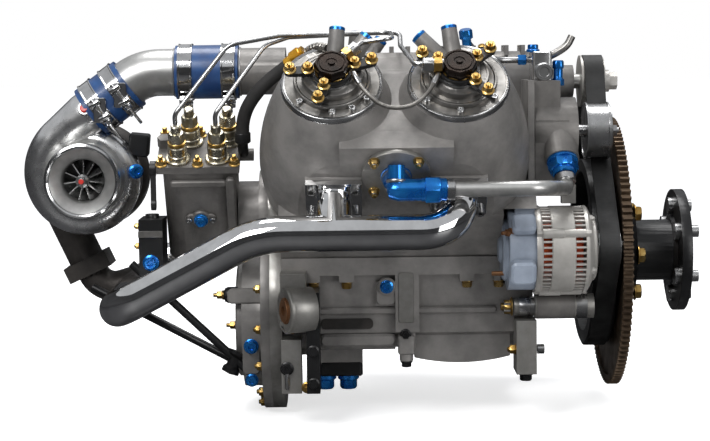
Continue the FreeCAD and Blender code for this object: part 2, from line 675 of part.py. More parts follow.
pump_plate = box("plate_length", "plate_depth", "plate_thick",
                 ("-plate_length / 2", "-plate_depth / 2", "-plate_thick"))
pump_column = fuse(
    box("pump_length - 50", "pump_depth", "pump_height", ("25 - pump_length / 2", "-pump_depth / 2", "-pump_height")),
    box("pump_length", "pump_depth - 50", "pump_height", ("-pump_length / 2", "25 - pump_depth / 2", "-pump_height")),
    *[rod("25", "pump_height", (x, y, "-pump_height"))
      for x in ("25 - pump_length / 2", "pump_length / 2 - 25") for y in ("25 - pump_depth / 2", "pump_depth / 2 - 25")])
valve_places = ((-26, -22), (25, -22), (-12, 18), (37, 18))
valve_seats = [rod("9", "40", (x, y, -39)) for x, y in valve_places]
plunger_space = rod("24", "80", (-40, 0, "-pump_shaft_drop"), "x")
shaft_space = rod("pump_shaft_radius + running_gap", "pump_length", (-44, 0, "-pump_shaft_drop"), "x")
plug_boss = rod("11", "5", (0, "4 - pump_depth / 2", -80), "-y")
fuel_stub = rod("8", "18", ("plate_length / 2 - 1", 0, -8), "x")
inlet_hex = hexagon("9", "14", (-46, 12, -1))
publish("injection_pump_body", cut(
    on_pump(fuse(pump_plate, pump_column, plug_boss, fuel_stub, inlet_hex))[0],
    *on_pump(*valve_seats, plunger_space, shaft_space)))
publish("delivery_valves", group(*on_pump(*[
    fuse(rod("9", "35", (x, y, -34)), rod("16", "4", (x, y, 0)), rod("12.5", "20", (x, y, 3)),
         rod("10", "8", (x, y, 22)), hexagon("9", "12", (x, y, 29)), rod("6", "12", (x, y, 40)))
    for x, y in valve_places])))

pump_gear = moved(timing_gear(mesh_angle), (0, "fuel_gear_y", "fuel_gear_z"))
pump_cams = []
for number, x in enumerate((-28, -10, 10, 28)):
    lobe = rod("9", "12", (x - 6, 0, 8), "x")
    pump_cams.append(place(group(lobe), ("pump_x", "fuel_gear_y", "fuel_gear_z"),
                           FreeCAD.Rotation(X_AXIS, 90 * number)))
publish("pump_camshaft", fuse(
    rod("pump_shaft_radius", "gear_rear - pump_x + gear_thick + 40", ("pump_x - 40", "fuel_gear_y", "fuel_gear_z"), "x"),
    pump_gear, *pump_cams))

dimensions(lever_x=-704, lever_y=-128, lever_z=128, lever_length=46)
publish("fuel_lever", fuse(
    rod("10", "7", ("lever_x - 8", "lever_y", "lever_z"), "x"),
    box("6", "12", "lever_length", ("lever_x - 7.5", "lever_y - 6", "lever_z - lever_length")),
    rod("8", "6", ("lever_x - 7.5", "lever_y", "lever_z - lever_length"), "x")))

# ---------------------------------------------------------------- supercharger in the valley

lower_rotor_z = "(blower_z - rotor_spacing)"
blower_length = "(blower_front - blower_rear)"


def rotor_lobes(centre_z, first):
    """Three round lobes about a core, the same all along the housing."""
    lobes = [place(group(rod("lobe_radius", f"{blower_length} - 32", ("blower_rear + 16", 0, "lobe_circle"), "x")),
                   (0, 0, centre_z), turn) for turn in around_x(3, first)]
    return fuse(rod("rotor_core", f"{blower_length} - 32", ("blower_rear + 16", 0, centre_z), "x"), *lobes)


blower_blank = fuse(
    rod("blower_half_width", blower_length, ("blower_rear", 0, "blower_z"), "x"),
    rod("blower_half_width", blower_length, ("blower_rear", 0, lower_rotor_z), "x"),
    box(blower_length, "2 * blower_half_width", "rotor_spacing", ("blower_rear", "-blower_half_width", lower_rotor_z)),
    rod("duct_radius", "105", ("blower_rear - 104", 0, "duct_z"), "x"),
    rod("22", "56", ("blower_front - 1", 0, "blower_z"), "x"),
    box("230", "34", "34", ("blower_rear + 40", "-17", 110)),
    *[box("5", "60", "14", (x, "-30", "blower_z + blower_half_width - 6")) for x in range(-420, -215, 22)])
rotor_space = fuse(
    rod("rotor_bore", f"{blower_length} - 30", ("blower_rear + 15", 0, "blower_z"), "x"),
    rod("rotor_bore", f"{blower_length} - 30", ("blower_rear + 15", 0, lower_rotor_z), "x"))
blower_inlet = rod("duct_radius - duct_wall", "130", ("blower_rear - 110", 0, "duct_z"), "x")
publish("blower_housing", cut(
    blower_blank, rotor_space, blower_inlet, block,
    rod("10 + running_gap", "80", ("blower_front - 20", 0, "blower_z"), "x"),
    rod("8 + running_gap", "10", ("blower_rear + 6", 0, "blower_z"), "x"),
    *[rod("8 + running_gap", "10", (x, 0, lower_rotor_z), "x") for x in ("blower_rear + 6", "blower_front - 16")]))
publish("blower_rotor_upper", fuse(
    rotor_lobes("blower_z", 0),
    rod("8", "10", ("blower_rear + 7", 0, "blower_z"), "x"),
    rod("10", "belt_rear + belt_width - blower_front + 20", ("blower_front - 17", 0, "blower_z"), "x")))
publish("blower_rotor_lower", fuse(
    rotor_lobes(lower_rotor_z, 120),
    rod("8", "9", ("blower_rear + 7", 0, lower_rotor_z), "x"),
    rod("8", "9", ("blower_front - 17", 0, lower_rotor_z), "x")))
pulley_front = "(belt_rear + belt_width + 2)"
publish("blower_pulley", cut(
    fuse(rod("blower_pulley_radius", "belt_width + 4", ("belt_rear - 2", 0, "blower_z"), "x"),
         rod("blower_pulley_radius + 3", "2.5", ("belt_rear - 4", 0, "blower_z"), "x"),
         rod("15", "8", (pulley_front, 0, "blower_z"), "x"),
         hexagon("12", "13", ("belt_rear + belt_width + 8", 0, "blower_z"), "x")),
    rod("10", "belt_width + 13", ("belt_rear - 10", 0, "blower_z"), "x")))

# ---------------------------------------------------------------- the belt


def belt_loop(wheels):
    """A closed loop of tangent lines and arcs round wheels given as y, z, radius and side."""
    normals = []
    for first, second in zip(wheels, wheels[1:] + wheels[:1]):
        gap_y, gap_z = second[0] - first[0], second[1] - first[1]
        lean = math.acos((second[3] * second[2] - first[3] * first[2]) / math.hypot(gap_y, gap_z))
        normals.append(math.atan2(gap_z, gap_y) + lean)
    edges = []
    last_point = None
    first_point = None
    for index, (y, z, radius, side) in enumerate(wheels):
        turned = math.pi if side > 0 else 0
        arrive = normals[index - 1] + turned
        leave = normals[index] + turned
        while side > 0 and leave < arrive:
            leave += 2 * math.pi
        while side < 0 and leave > arrive:
            leave -= 2 * math.pi
        points = [FreeCAD.Vector(dim("belt_rear"), y + radius * math.cos(angle), z + radius * math.sin(angle))
                  for angle in (arrive, (arrive + leave) / 2, leave)]
        if last_point:
            edges.append(Part.makeLine(last_point, points[0]))
        else:
            first_point = points[0]
        edges.append(Part.Arc(*points).toShape())
        last_point = points[2]
    edges.append(Part.makeLine(last_point, first_point))
    return Part.Face(Part.Wire(edges))


belt_gap = 0.3
inner_wheels = [
    (0, 0, dim("drum_radius") + belt_gap, 1),
    (0, dim("blower_z"), dim("blower_pulley_radius") + belt_gap, 1),
    (dim("pump_y"), dim("pump_z"), dim("pump_pulley") + belt_gap + dim("belt_thick"), -1),
    (dim("alternator_y"), dim("alternator_z"), dim("alternator_pulley") + belt_gap, 1),
]
outer_wheels = [(y, z, radius + side * dim("belt_thick"), side) for y, z, radius, side in inner_wheels]
belt = belt_loop(outer_wheels).cut(belt_loop(inner_wheels))
publish("drive_belt", solid(belt.extrude(FreeCAD.Vector(dim("belt_width"), 0, 0))))

# ---------------------------------------------------------------- water pump

dimensions(pump_face=-160, pump_back=-216, volute_radius=44, pump_shaft=8)
pump_body = fuse(
    rod("volute_radius", "pump_face - pump_back", ("pump_back", "pump_y", "pump_z"), "x"),
    box("pump_face - pump_back - 12", "84", "92", ("pump_back", "pump_y - 42", "pump_z - 76")),
    box("34", "70", "66", ("pump_back", "pump_y - 30", "pump_z")),
    box("24", "46", "38", (-214, "pump_y", 234)),
    rod("10", "10", (-201, "pump_y + 1", 246), "-y"),
    rod("22", "outlet_boss", tuple(outlet_root), tuple(outlet_down)))
publish("water_pump_housing", cut(
    pump_body,
    rod("30", "22", (-196, "pump_y", "pump_z"), "x"),
    rod("pump_shaft + running_gap", "40", (-180, "pump_y", "pump_z"), "x"),
    rod("12", "outlet_boss + 20", tuple(outlet_root), tuple(outlet_down)),
    rod("outlet_nut_radius + 0.5", "40", tuple(boss_end), tuple(outlet_down))))
impeller_vanes = [place(group(box("12", "3", "24", (-192, "-1.5", 4))), (0, "pump_y", "pump_z"), turn)
                  for turn in around_x(6)]
publish("water_pump_rotor", fuse(
    rod("pump_shaft", "70", (-190, "pump_y", "pump_z"), "x"),
    rod("27", "4", (-194, "pump_y", "pump_z"), "x"),
    *impeller_vanes,
    rod("pump_pulley", "30", (-147, "pump_y", "pump_z"), "x"),
    hexagon("9", "6", (-118, "pump_y", "pump_z"), "x")))

# ---------------------------------------------------------------- alternator

alternator_at = ("alternator_y", "alternator_z")


def on_alternator(make, turns):
    return [place(group(make()), (0, *alternator_at), turn) for turn in turns]


dimensions(stator_inner=34, stator_outer=45)
publish("alternator_housing", cut(
    fuse(rod("alternator_radius", "alternator_front - alternator_split", ("alternator_split", *alternator_at), "x"),
         taper("alternator_radius - 4", "alternator_radius - 14", "alternator_nose - alternator_front",
               ("alternator_front", *alternator_at), "x"),
         *[rod("6", "alternator_front - alternator_split", ("alternator_split", "alternator_y", f"alternator_z + {z}"), "x")
           for z in (-53, 53)]),
    rod("stator_outer", "alternator_front - alternator_split - 4", ("alternator_split - 1", *alternator_at), "x"),
    rod("10", "40", ("alternator_front - 8", *alternator_at), "x"),
    *on_alternator(lambda: box("13", "5.5", "30", ("alternator_split + 5", "-2.75", 38)), around_x(16)),
    *on_alternator(lambda: box("12", "5.5", "30", ("alternator_front - 16", "-2.75", 38)), around_x(16))))
publish("alternator_stator", cut(
    rod("stator_outer", "54", ("alternator_split + 2", *alternator_at), "x"),
    rod("stator_inner", "60", ("alternator_split", *alternator_at), "x")))
publish("alternator_rotor", fuse(
    rod("8", "138", ("alternator_rear + 10", *alternator_at), "x"),
    rod("stator_inner - 1", "44", ("alternator_split + 6", *alternator_at), "x"),
    rod("alternator_pulley", "28", ("belt_rear - 1", *alternator_at), "x"),
    hexagon("9", "7", ("belt_rear + 26", *alternator_at), "x")))
publish("alternator_rear_cover", cut(
    fuse(rod("alternator_radius - 3", "alternator_split - alternator_rear", ("alternator_rear", *alternator_at), "x"),
         box("26", "40", "12", ("alternator_split - 28", "alternator_y - 20", "alternator_z + 44"))),
    rod("alternator_radius - 8", "alternator_split - alternator_rear", ("alternator_rear + 4", *alternator_at), "x"),
    rod("8.3", "20", ("alternator_rear - 2", *alternator_at), "x")))
publish("alternator_mounting", group(
    box("18", "14", "24", (-184, "alternator_y - 8", "alternator_z + 59")),
    rod("16", "76", (-217, -140, -56), "x"),
    rod("11", "26", (-244, -140, -56), "x"),
    hexagon("10", "12", (-257, -140, -56), "x")))

# ---------------------------------------------------------------- exhaust

dimensions(pipe_radius=22.5, log_out=61, log_end=-568, down_x=-748, down_y=-245, collector_y=120,
           collector_z=-42, collector_radius=22.5)
diagonal = math.sin(math.radians(dim("bank_angle")))


def on_facet(height, stand_off):
    """Y and Z of a point on the near bank's outer facet."""
    return -diagonal * (height + stand_off), diagonal * (height - stand_off)


def exhaust_pipe(shift):
    """The flanged log that gathers a bank's two ports and runs back and down to the collector."""
    face = dim("facet") + dim("port_pad")
    flange_y, flange_z = on_facet(dim("port_height"), face)
    log_y, log_z = on_facet(dim("port_height"), face + dim("log_out"))
    rear, front = dim("cylinder_rear") + shift, dim("cylinder_front") + shift
    run = [(front, flange_y, flange_z), (front, log_y, log_z), (dim("log_end"), log_y, log_z),
           (dim("down_x"), dim("down_y"), dim("collector_z")), (dim("down_x"), -dim("collector_y"), dim("collector_z"))]
    outside = tube_shape(run, (48, 130, 42), dim("pipe_radius"))
    stub = tube_shape([(rear, flange_y, flange_z), (rear, log_y, log_z)], (), dim("pipe_radius"))
    inside = tube_shape(run, (48, 130, 42), dim("pipe_radius") - 2)
    stub_inside = tube_shape([(rear, flange_y, flange_z), (rear, log_y, log_z)], (), dim("pipe_radius") - 2)
    flanges = []
    for station in (rear, front):
        plate = Part.makeBox(dim("port_flange_length"), dim("port_flange_thick"), dim("port_flange_width"))
        plate.translate(FreeCAD.Vector(station - dim("port_flange_length") / 2, -face - dim("port_flange_thick"),
                                       dim("port_height") - dim("port_flange_width") / 2))
        plate.rotate(FreeCAD.Vector(), X_AXIS, dim("bank_angle"))
        flanges.append(plate)
    return outside.multiFuse([stub] + flanges).cut(inside.fuse(stub_inside))


publish("near_exhaust_pipe", solid(exhaust_pipe(0)))
publish("far_exhaust_pipe", mirrored(solid(exhaust_pipe(dim("bank_shift")))))
flange_at = FreeCAD.Vector(-832, dim("turbine_y"), -12)
flange_out = FreeCAD.Vector(0.42, 0, -0.907).normalize()
collector_run = [(dim("down_x"), -dim("collector_y"), dim("collector_z")),
                 (dim("down_x"), dim("collector_y"), dim("collector_z"))]
riser_run = [tuple(flange_at + flange_out * 12), tuple(flange_at + flange_out * 52),
             (dim("down_x"), dim("turbine_y"), dim("collector_z"))]


def slanted_plate(start, thick):
    plate = Part.makeBox(64, 56, thick, FreeCAD.Vector(-32, -28, 0))
    plate.Placement = FreeCAD.Placement(flange_at + flange_out * start, FreeCAD.Rotation(Z_AXIS, flange_out))
    return plate


collector = tube_shape(collector_run, (), dim("collector_radius")).multiFuse(
    [tube_shape(riser_run, (34,), 22), slanted_plate(12, 11)])
collector_inside = tube_shape(collector_run, (), dim("collector_radius") - 4).fuse(tube_shape(riser_run, (34,), 18))
publish("exhaust_collector", solid(collector.cut(collector_inside)))


def port_screws(station):
    screws = []
    for x in (-27, 27):
        for height in (-22, 22):
            screws.append(rod("5.5", "7", (f"{station} + {x}", "-facet - port_pad - port_flange_thick",
                                           f"port_height + {height}"), "-y"))
    return screws


for station in ("cylinder_rear", "cylinder_front"):
    silver_screws += near(*port_screws(station)) + far(*port_screws(f"({station} + bank_shift)"))
publish("cap_screws", group(*silver_screws))

# ---------------------------------------------------------------- coolant plates, elbow and pipe

dimensions(plate_x=-397, plate_height=265, coolant_plate_radius=42, coolant_plate_thick=7)
dimensions(elbow_radius=19, elbow_bore=13.5, elbow_reach=36, elbow_nut_radius=16, coolant_pipe_radius=9.5)
coolant_plates = []
for side, shift in ((near, "0"), (far, "bank_shift")):
    plate = fuse(
        rod("coolant_plate_radius", "coolant_plate_thick", (f"plate_x + {shift}", "-facet", "plate_height"), "-y"),
        rod("18", "10", (f"plate_x + {shift}", "-facet", "plate_height"), "-y"))
    studs = [rod("3.5", "9", (f"plate_x + {shift} + {x}", "-facet - coolant_plate_thick + 1", f"plate_height + {z}"), "-y")
             for x in (-27, 27) for z in (-27, 27)]
    coolant_plates += side(fuse(plate, *studs))
publish("coolant_plates", group(*coolant_plates))

elbow_y, elbow_z = on_facet(dim("plate_height"), dim("facet") + 10)
corner_y, corner_z = on_facet(dim("plate_height"), dim("facet") + 30)
elbow_end = dim("plate_x") + dim("elbow_reach")
elbow = tube_shape([(dim("plate_x"), elbow_y, elbow_z), (dim("plate_x"), corner_y, corner_z),
                    (elbow_end, corner_y, corner_z)], (dim("elbow_radius"),), dim("elbow_bore"))
elbow_nut = Part.makeCylinder(dim("elbow_nut_radius"), 26, FreeCAD.Vector(elbow_end - 2, corner_y, corner_z), X_AXIS)
outlet_mouth_at = boss_end + outlet_down * dim("outlet_nut")
outlet_nut = Part.makeCylinder(dim("outlet_nut_radius"), dim("outlet_nut"), boss_end, outlet_down)
publish("coolant_fittings", solid(Part.makeCompound([elbow.fuse(elbow_nut), outlet_nut])))
pipe_run = [(elbow_end + 24, corner_y, corner_z), (-215, corner_y, corner_z),
            tuple(outlet_mouth_at + outlet_down * 24), tuple(outlet_mouth_at)]
publish("coolant_pipe", solid(tube_shape(pipe_run, (30, 18), dim("coolant_pipe_radius"))))

# ---------------------------------------------------------------- turbocharger


def on_turbo(radius, start, length):
    return rod(radius, length, ("turbo_x", start, "turbo_z"), "y")


coupler_middle = FreeCAD.Vector(-779, 0, 218)
outlet_axis = FreeCAD.Vector(0.809, 0, 0.588).normalize()
outlet_start = coupler_middle - outlet_axis * 92
outlet_mouth = coupler_middle - outlet_axis * 38


def outlet_shape(thinner):
    """The compressor's outlet: a cone from the scroll and a straight spigot for the coupler."""
    cone = Part.makeCone(27 - thinner, dim("duct_radius") - thinner, 54, outlet_start, outlet_axis)
    return cone.fuse(Part.makeCylinder(dim("duct_radius") - thinner, 34 + thinner, outlet_mouth, outlet_axis))


outlet_pipe = solid(outlet_shape(0))
outlet_inside = solid(outlet_shape(3))
coupler_room = solid(Part.makeCylinder(38, 80, coupler_middle - outlet_axis * 35, outlet_axis))
publish("compressor_housing", cut(
    fuse(cut(fuse(ring(58, 28, ("turbo_x", 0, "turbo_z"), "y"), on_turbo(58, -26, 56), on_turbo(50, -58, 28),
                  on_turbo(48.5, -58, 40),
                  on_turbo(68, 20, 14)), coupler_room), outlet_pipe),
    ring(58, 24, ("turbo_x", 0, "turbo_z"), "y"), on_turbo(29, -60, 60), on_turbo(46, -14, 38),
    taper(44, 29, 16, ("turbo_x", -58.5, "turbo_z"), "y"), outlet_inside,
    on_turbo("6 + running_gap", 20, 20)))
publish("turbo_bearing_housing", cut(
    fuse(on_turbo(44, 34, 8), on_turbo(30, 40, 24), on_turbo(42, 62, 8), rod(12, 40, ("turbo_x", 52, "turbo_z - 42"))),
    on_turbo("6 + running_gap", 30, 50)))
neck_top = (-866, dim("turbine_y"), 62)
neck = solid(tube_shape([tuple(flange_at), neck_top], (), 25))
publish("turbine_housing", cut(
    fuse(ring(50, 24, ("turbo_x", "turbine_y", "turbo_z"), "y"), on_turbo(52, 70, 50), on_turbo(38, 112, 48),
         on_turbo(44, 152, 8), neck, solid(slanted_plate(0, 12))),
    ring(50, 19, ("turbo_x", "turbine_y", "turbo_z"), "y"), on_turbo(38, 84, 30), on_turbo(32, 110, 60),
    solid(tube_shape([tuple(flange_at + flange_out * 13), neck_top], (), 18)),
    on_turbo("6 + running_gap", 66, 40)))
blades = []
for index in range(11):
    blade = Part.makeBox(1.6, 30, 22, FreeCAD.Vector(-0.8, 0, 5))
    blade.rotate(FreeCAD.Vector(), Z_AXIS, 38)
    blade.rotate(FreeCAD.Vector(), Y_AXIS, 360 * index / 11)
    blade.translate(FreeCAD.Vector(dim("turbo_x"), -40, dim("turbo_z")))
    blades.append(solid(blade))
publish("turbo_rotor", fuse(
    on_turbo(6, -44, 150), on_turbo(9, -52, 10), taper(10, 43, 34, ("turbo_x", -16, "turbo_z"), "y"),
    taper(35, 12, 24, ("turbo_x", 88, "turbo_z"), "y"), overlap(fuse(*blades), on_turbo(27.5, -50, 60))))

# ---------------------------------------------------------------- charge duct, couplers and clamps

elbow_right = FreeCAD.Vector(-650, 0, dim("duct_z"))
elbow_corner = coupler_middle + outlet_axis * ((dim("duct_z") - coupler_middle.z) / outlet_axis.z)
elbow_left = coupler_middle + outlet_axis * 4
duct_run = [tuple(elbow_right), tuple(elbow_corner), tuple(elbow_left)]
duct = tube_shape(duct_run, (70,), dim("duct_radius")).cut(
    tube_shape(duct_run, (70,), dim("duct_radius") - dim("duct_wall")))
publish("charge_elbow", solid(duct))


def sleeve(middle, axis, length, inner, wall):
    start = middle - axis * (length / 2)
    return Part.makeCylinder(inner + wall, length, start, axis).cut(
        Part.makeCylinder(inner, length + 2, start - axis, axis))


coupler_places = ((coupler_middle, outlet_axis, 66), (FreeCAD.Vector(-645.5, 0, dim("duct_z")), X_AXIS, 85))
publish("hose_couplers", solid(Part.makeCompound([
    sleeve(middle, axis, length, dim("duct_radius"), 4.6) for middle, axis, length in coupler_places])))
clamp_rings = []
for (middle, axis, length), offset in zip(coupler_places, (17, 29)):
    for side in (-offset, offset):
        band = sleeve(middle + axis * side, axis, 19, dim("duct_radius") + 4.6, 1)
        clamp_rings.append(band)
publish("coupler_clamps", solid(Part.makeCompound(clamp_rings)))

# ---------------------------------------------------------------- injection lines


def pump_point(x, y, z):
    place_of_pump = FreeCAD.Placement(FreeCAD.Vector(dim("pump_x"), dim("plate_y"), dim("plate_z")), pump_turn)
    return place_of_pump.multVec(FreeCAD.Vector(x, y, z))


def bank_point(station, reach, angle, height):
    """A point near a near-bank head, by its reach and angle about the head's axis."""
    across = -reach * math.sin(math.radians(angle))
    y, z = on_facet(height, across)
    return FreeCAD.Vector(dim(station) + reach * math.cos(math.radians(angle)), y, z)


dimensions(line_radius=3, nut_height=366)
line_plan = (
    ((-26, -22), "cylinder_rear", 46, [(-606, -158, 286), (-540, -150, 297), (-400, -150, 299), (-400, -236, 291)]),
    ((25, -22), "cylinder_front", 180, [(-560, -146, 285), (-530, -138, 295), (-388, -138, 300), (-388, -175, 282)]),
)
lines = []
for (x, y), station, angle, route in line_plan:
    nut_start = bank_point(station, 19, angle, dim("nut_height"))
    nut_end = bank_point(station, 38, angle, dim("nut_height"))
    nut_out = nut_end - nut_start
    points = [tuple(pump_point(x, y, 52)), tuple(pump_point(x, y, 68)), *route,
              tuple(bank_point(station, 54, angle, dim("nut_height"))), tuple(nut_end)]
    lines.append(tube_shape(points, (12, 30, 14, 14, 10, 8), dim("line_radius")))
    lines.append(Part.makeCylinder(6.6, nut_out.Length, nut_start, nut_out))
publish("injection_lines", cut(solid(Part.makeCompound(lines)), group(*injectors)))

leak_off_run = [(-447, -258, 248), (-436, -273, 228), (-412, -282, 207), (-378, -282, 207), (-356, -276, 226),
                (-345, -260, 246)]
return_hose_run = [(-530, -166, 265), (-557, -162, 242), (-580, -156, 214), (-590, -147, 190), (-591, -140, 168)]
hose_collar = Part.makeCylinder(11, 22, FreeCAD.Vector(-512, -170, 279.5), FreeCAD.Vector(-19, 4, -15))
publish("return_hoses", solid(Part.makeCompound([
    tube_shape(leak_off_run, (14, 16, 16, 14), 2.4),
    tube_shape(return_hose_run, (40, 40, 30), 8.5).fuse(hose_collar)])))

# ---------------------------------------------------------------- mounts, plates, braces, starter and filter

dimensions(boss_radius=29, boss_length=35, bush_radius=17, isolator_bore=6.35)
boss_axis = FreeCAD.Vector(0.927, 0.375, 0).normalize()
boss_face = FreeCAD.Vector(-538, -182, -52)


def along_boss(radius, start, length):
    """A cylinder on the mount's slanted axis, measured from the boss's outer face."""
    point = boss_face + boss_axis * start
    return rod(radius, length, tuple(point), tuple(boss_axis))


boss_room = along_boss("bush_radius", -10, 70)
arm = fuse(box("33", "50", "66", ("case_rear", "-176", "-72")), box("26", "34", "70", ("case_rear", "-166", "-162")))
bracket = cut(fuse(along_boss("boss_radius", 0, "boss_length"), arm), boss_room, lower_block)
front_foot = cut(box("26", "50", "70", ("case_front - 25", "-160", "-142")), lower_block)
publish("mount_brackets", group(bracket, front_foot, mirrored(bracket), mirrored(front_foot)))
bush = cut(along_boss("bush_radius", -1.5, "boss_length + 3"), along_boss("isolator_bore", -10, 70))
publish("mount_bushings", group(bush, mirrored(bush)))
mount_plate = cut(box("17", "62", "130", ("case_rear + 33", "-184", "-159")),
                  along_boss("boss_radius", 0, "boss_length"), along_boss("bush_radius", -1.5, "boss_length + 3"),
                  lower_block)
publish("mount_plates", group(mount_plate, mirrored(mount_plate)))
brace_runs = (((-812, 20, -45), (-590, -73, -145)), ((-748, -60, -3), (-590, -80, -150)))
publish("turbo_braces", cut(solid(Part.makeCompound([tube_shape(run, (), 5.5) for run in brace_runs])), back_cover))
dimensions(starter_y=190, starter_z=-40, starter_radius=38)
publish("starter_motor", cut(
    fuse(rod("starter_radius", "150", (-300, "starter_y", "starter_z"), "x"),
         rod("22", "25", (-151, "starter_y", "starter_z"), "x"),
         rod("14", "11", (-127, "starter_y", "starter_z"), "x"),
         box("50", "60", "40", (-290, 112, "starter_z - 20"))),
    lower_block))
publish("fuel_filter", fuse(box("31", "60", "76", (-729, -130, -14)), rod("9", "6", (-714, -100, 61))))

# ---------------------------------------------------------------- check and write

doc.recompute()
faults = []
for obj in doc.Objects:
    if "Invalid" in obj.State or "Error" in obj.State:
        faults.append(f"{obj.Name} {obj.Label}: {obj.State}")
for part in sub_parts:
    if part.Shape.isNull() or not part.Shape.isValid():
        faults.append(f"{part.Label}: no valid shape")
if faults:
    raise RuntimeError("\n".join(faults))
os.makedirs("parts", exist_ok=True)
for part in sub_parts:
    part.Shape.exportStep(f"parts/{part.Label}.step")
print(f"{len(sub_parts)} sub-parts written")
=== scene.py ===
"""An upright V4 aircraft diesel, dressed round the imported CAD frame.

Shapes are pairs of (points, faces), worked out with numpy in millimetres in the frame's own axes: +X runs to
the propeller, +Z up and -Y to the near side. Each piece is scaled to metres when it is made.
"""
import math

import bmesh
import bpy
import numpy as np
from mathutils import Matrix, Vector


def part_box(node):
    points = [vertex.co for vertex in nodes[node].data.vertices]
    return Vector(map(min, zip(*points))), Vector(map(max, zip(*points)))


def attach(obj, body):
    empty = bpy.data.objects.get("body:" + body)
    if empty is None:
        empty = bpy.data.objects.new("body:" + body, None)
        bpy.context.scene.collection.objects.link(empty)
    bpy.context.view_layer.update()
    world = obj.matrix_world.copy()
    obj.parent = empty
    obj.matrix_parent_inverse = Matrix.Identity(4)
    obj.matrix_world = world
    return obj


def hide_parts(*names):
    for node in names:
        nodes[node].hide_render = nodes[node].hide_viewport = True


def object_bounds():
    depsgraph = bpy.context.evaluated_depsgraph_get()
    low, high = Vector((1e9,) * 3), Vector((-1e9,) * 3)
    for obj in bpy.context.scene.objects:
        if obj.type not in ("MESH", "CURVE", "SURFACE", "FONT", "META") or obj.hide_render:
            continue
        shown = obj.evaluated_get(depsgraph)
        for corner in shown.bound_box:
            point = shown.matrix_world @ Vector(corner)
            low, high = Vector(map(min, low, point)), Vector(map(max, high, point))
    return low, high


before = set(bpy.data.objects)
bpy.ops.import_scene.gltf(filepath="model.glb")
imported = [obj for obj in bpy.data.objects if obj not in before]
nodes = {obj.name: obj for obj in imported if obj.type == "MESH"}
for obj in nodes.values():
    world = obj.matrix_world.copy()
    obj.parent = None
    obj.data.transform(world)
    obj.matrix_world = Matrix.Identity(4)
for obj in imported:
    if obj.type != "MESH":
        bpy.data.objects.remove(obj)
cad_box = [list(corner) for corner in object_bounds()]
MM = 0.001

# ---------------------------------------------------------------- camera

CAMERA_AT = np.array([-448.04, -2389.74, 267.27]) * MM
CAMERA_AIM = np.array([-448.04, 0.0, 45.58]) * MM
CAMERA_ROLL = math.radians(-0.75)

camera = bpy.data.objects.new("camera", bpy.data.cameras.new("camera"))
camera.data.lens = 88.8
camera.data.sensor_width = 36
view_turn = Vector(CAMERA_AIM - CAMERA_AT).to_track_quat("-Z", "Y").to_matrix().to_4x4()
camera.matrix_world = Matrix.Translation(CAMERA_AT) @ view_turn @ Matrix.Rotation(CAMERA_ROLL, 4, "Z")
bpy.context.scene.collection.objects.link(camera)
bpy.context.scene.camera = camera
bpy.context.scene.view_settings.view_transform = "Standard"

# ---------------------------------------------------------------- shapes, in millimetres


def skin(points):
    """Quads between neighbouring rows of a grid of points whose columns close round on themselves."""
    rows, columns = points.shape[:2]
    here = np.arange(rows * columns).reshape(rows, columns)
    beside = np.roll(here, -1, axis=1)
    faces = np.stack([here[:-1], beside[:-1], beside[1:], here[1:]], axis=-1)
    return points.reshape(-1, 3), faces.reshape(-1, 4)


def turned(profile, around=48):
    """A turned piece: (r, h) goes to (r k cos t, r k sin t, h).

    k is 1 on a round row. On a row with n flats it is cos(pi / n) / cos(t mod (2 pi / n) - pi / n), the
    reach of a polygon that has a corner at t = 0.
    """
    turn = 2 * np.pi * np.arange(around) / around
    rows = []
    for radius, height, *flats in profile:
        reach = np.ones(around)
        if flats:
            part = 2 * np.pi / flats[0]
            reach = np.cos(part / 2) / np.cos(turn % part - part / 2)
        rows.append(np.stack([radius * reach * np.cos(turn), radius * reach * np.sin(turn),
                              np.full(around, height)], axis=-1))
    return skin(np.array(rows))


def slab(length, width, height, corner=3.0, edge=1.0, around=32):
    """A block standing on its middle, with the outline (sign(cos t) a + c cos t, sign(sin t) b + c sin t).

    a and b are half the sides less the corner radius, and c is that radius, set in by the edge at both rims.
    """
    turn = 2 * np.pi * (np.arange(around) + 0.5) / around
    rows = []
    for share, inset, level in ((0, 0, 0), (1, edge, 0), (1, 0, edge), (1, 0, height - edge),
                                (1, edge, height), (0, 0, height)):
        x = np.sign(np.cos(turn)) * (length / 2 - corner) + (corner - inset) * np.cos(turn)
        y = np.sign(np.sin(turn)) * (width / 2 - corner) + (corner - inset) * np.sin(turn)
        rows.append(np.stack([share * x, share * y, np.full(around, level)], axis=-1))
    return skin(np.array(rows))


def eased(points, rounds=3):
    """A rounded path: on each round every run keeps only its middle half, and the two ends stay."""
    path = np.array(points, float)
    for _ in range(rounds):
        halves = np.stack([path[:-1] * 0.75 + path[1:] * 0.25, path[:-1] * 0.25 + path[1:] * 0.75], axis=1)
        path = np.concatenate([path[:1], halves.reshape(-1, 3), path[-1:]])
    return path


def spaced(path, step):
    """The path's points again, at equal steps along it."""
    travel = np.concatenate([[0], np.cumsum(np.linalg.norm(np.diff(path, axis=0), axis=1))])
    marks = np.linspace(0, travel[-1], max(2, int(travel[-1] / step) + 1))
    return np.stack([np.interp(marks, travel, column) for column in path.T], axis=-1)


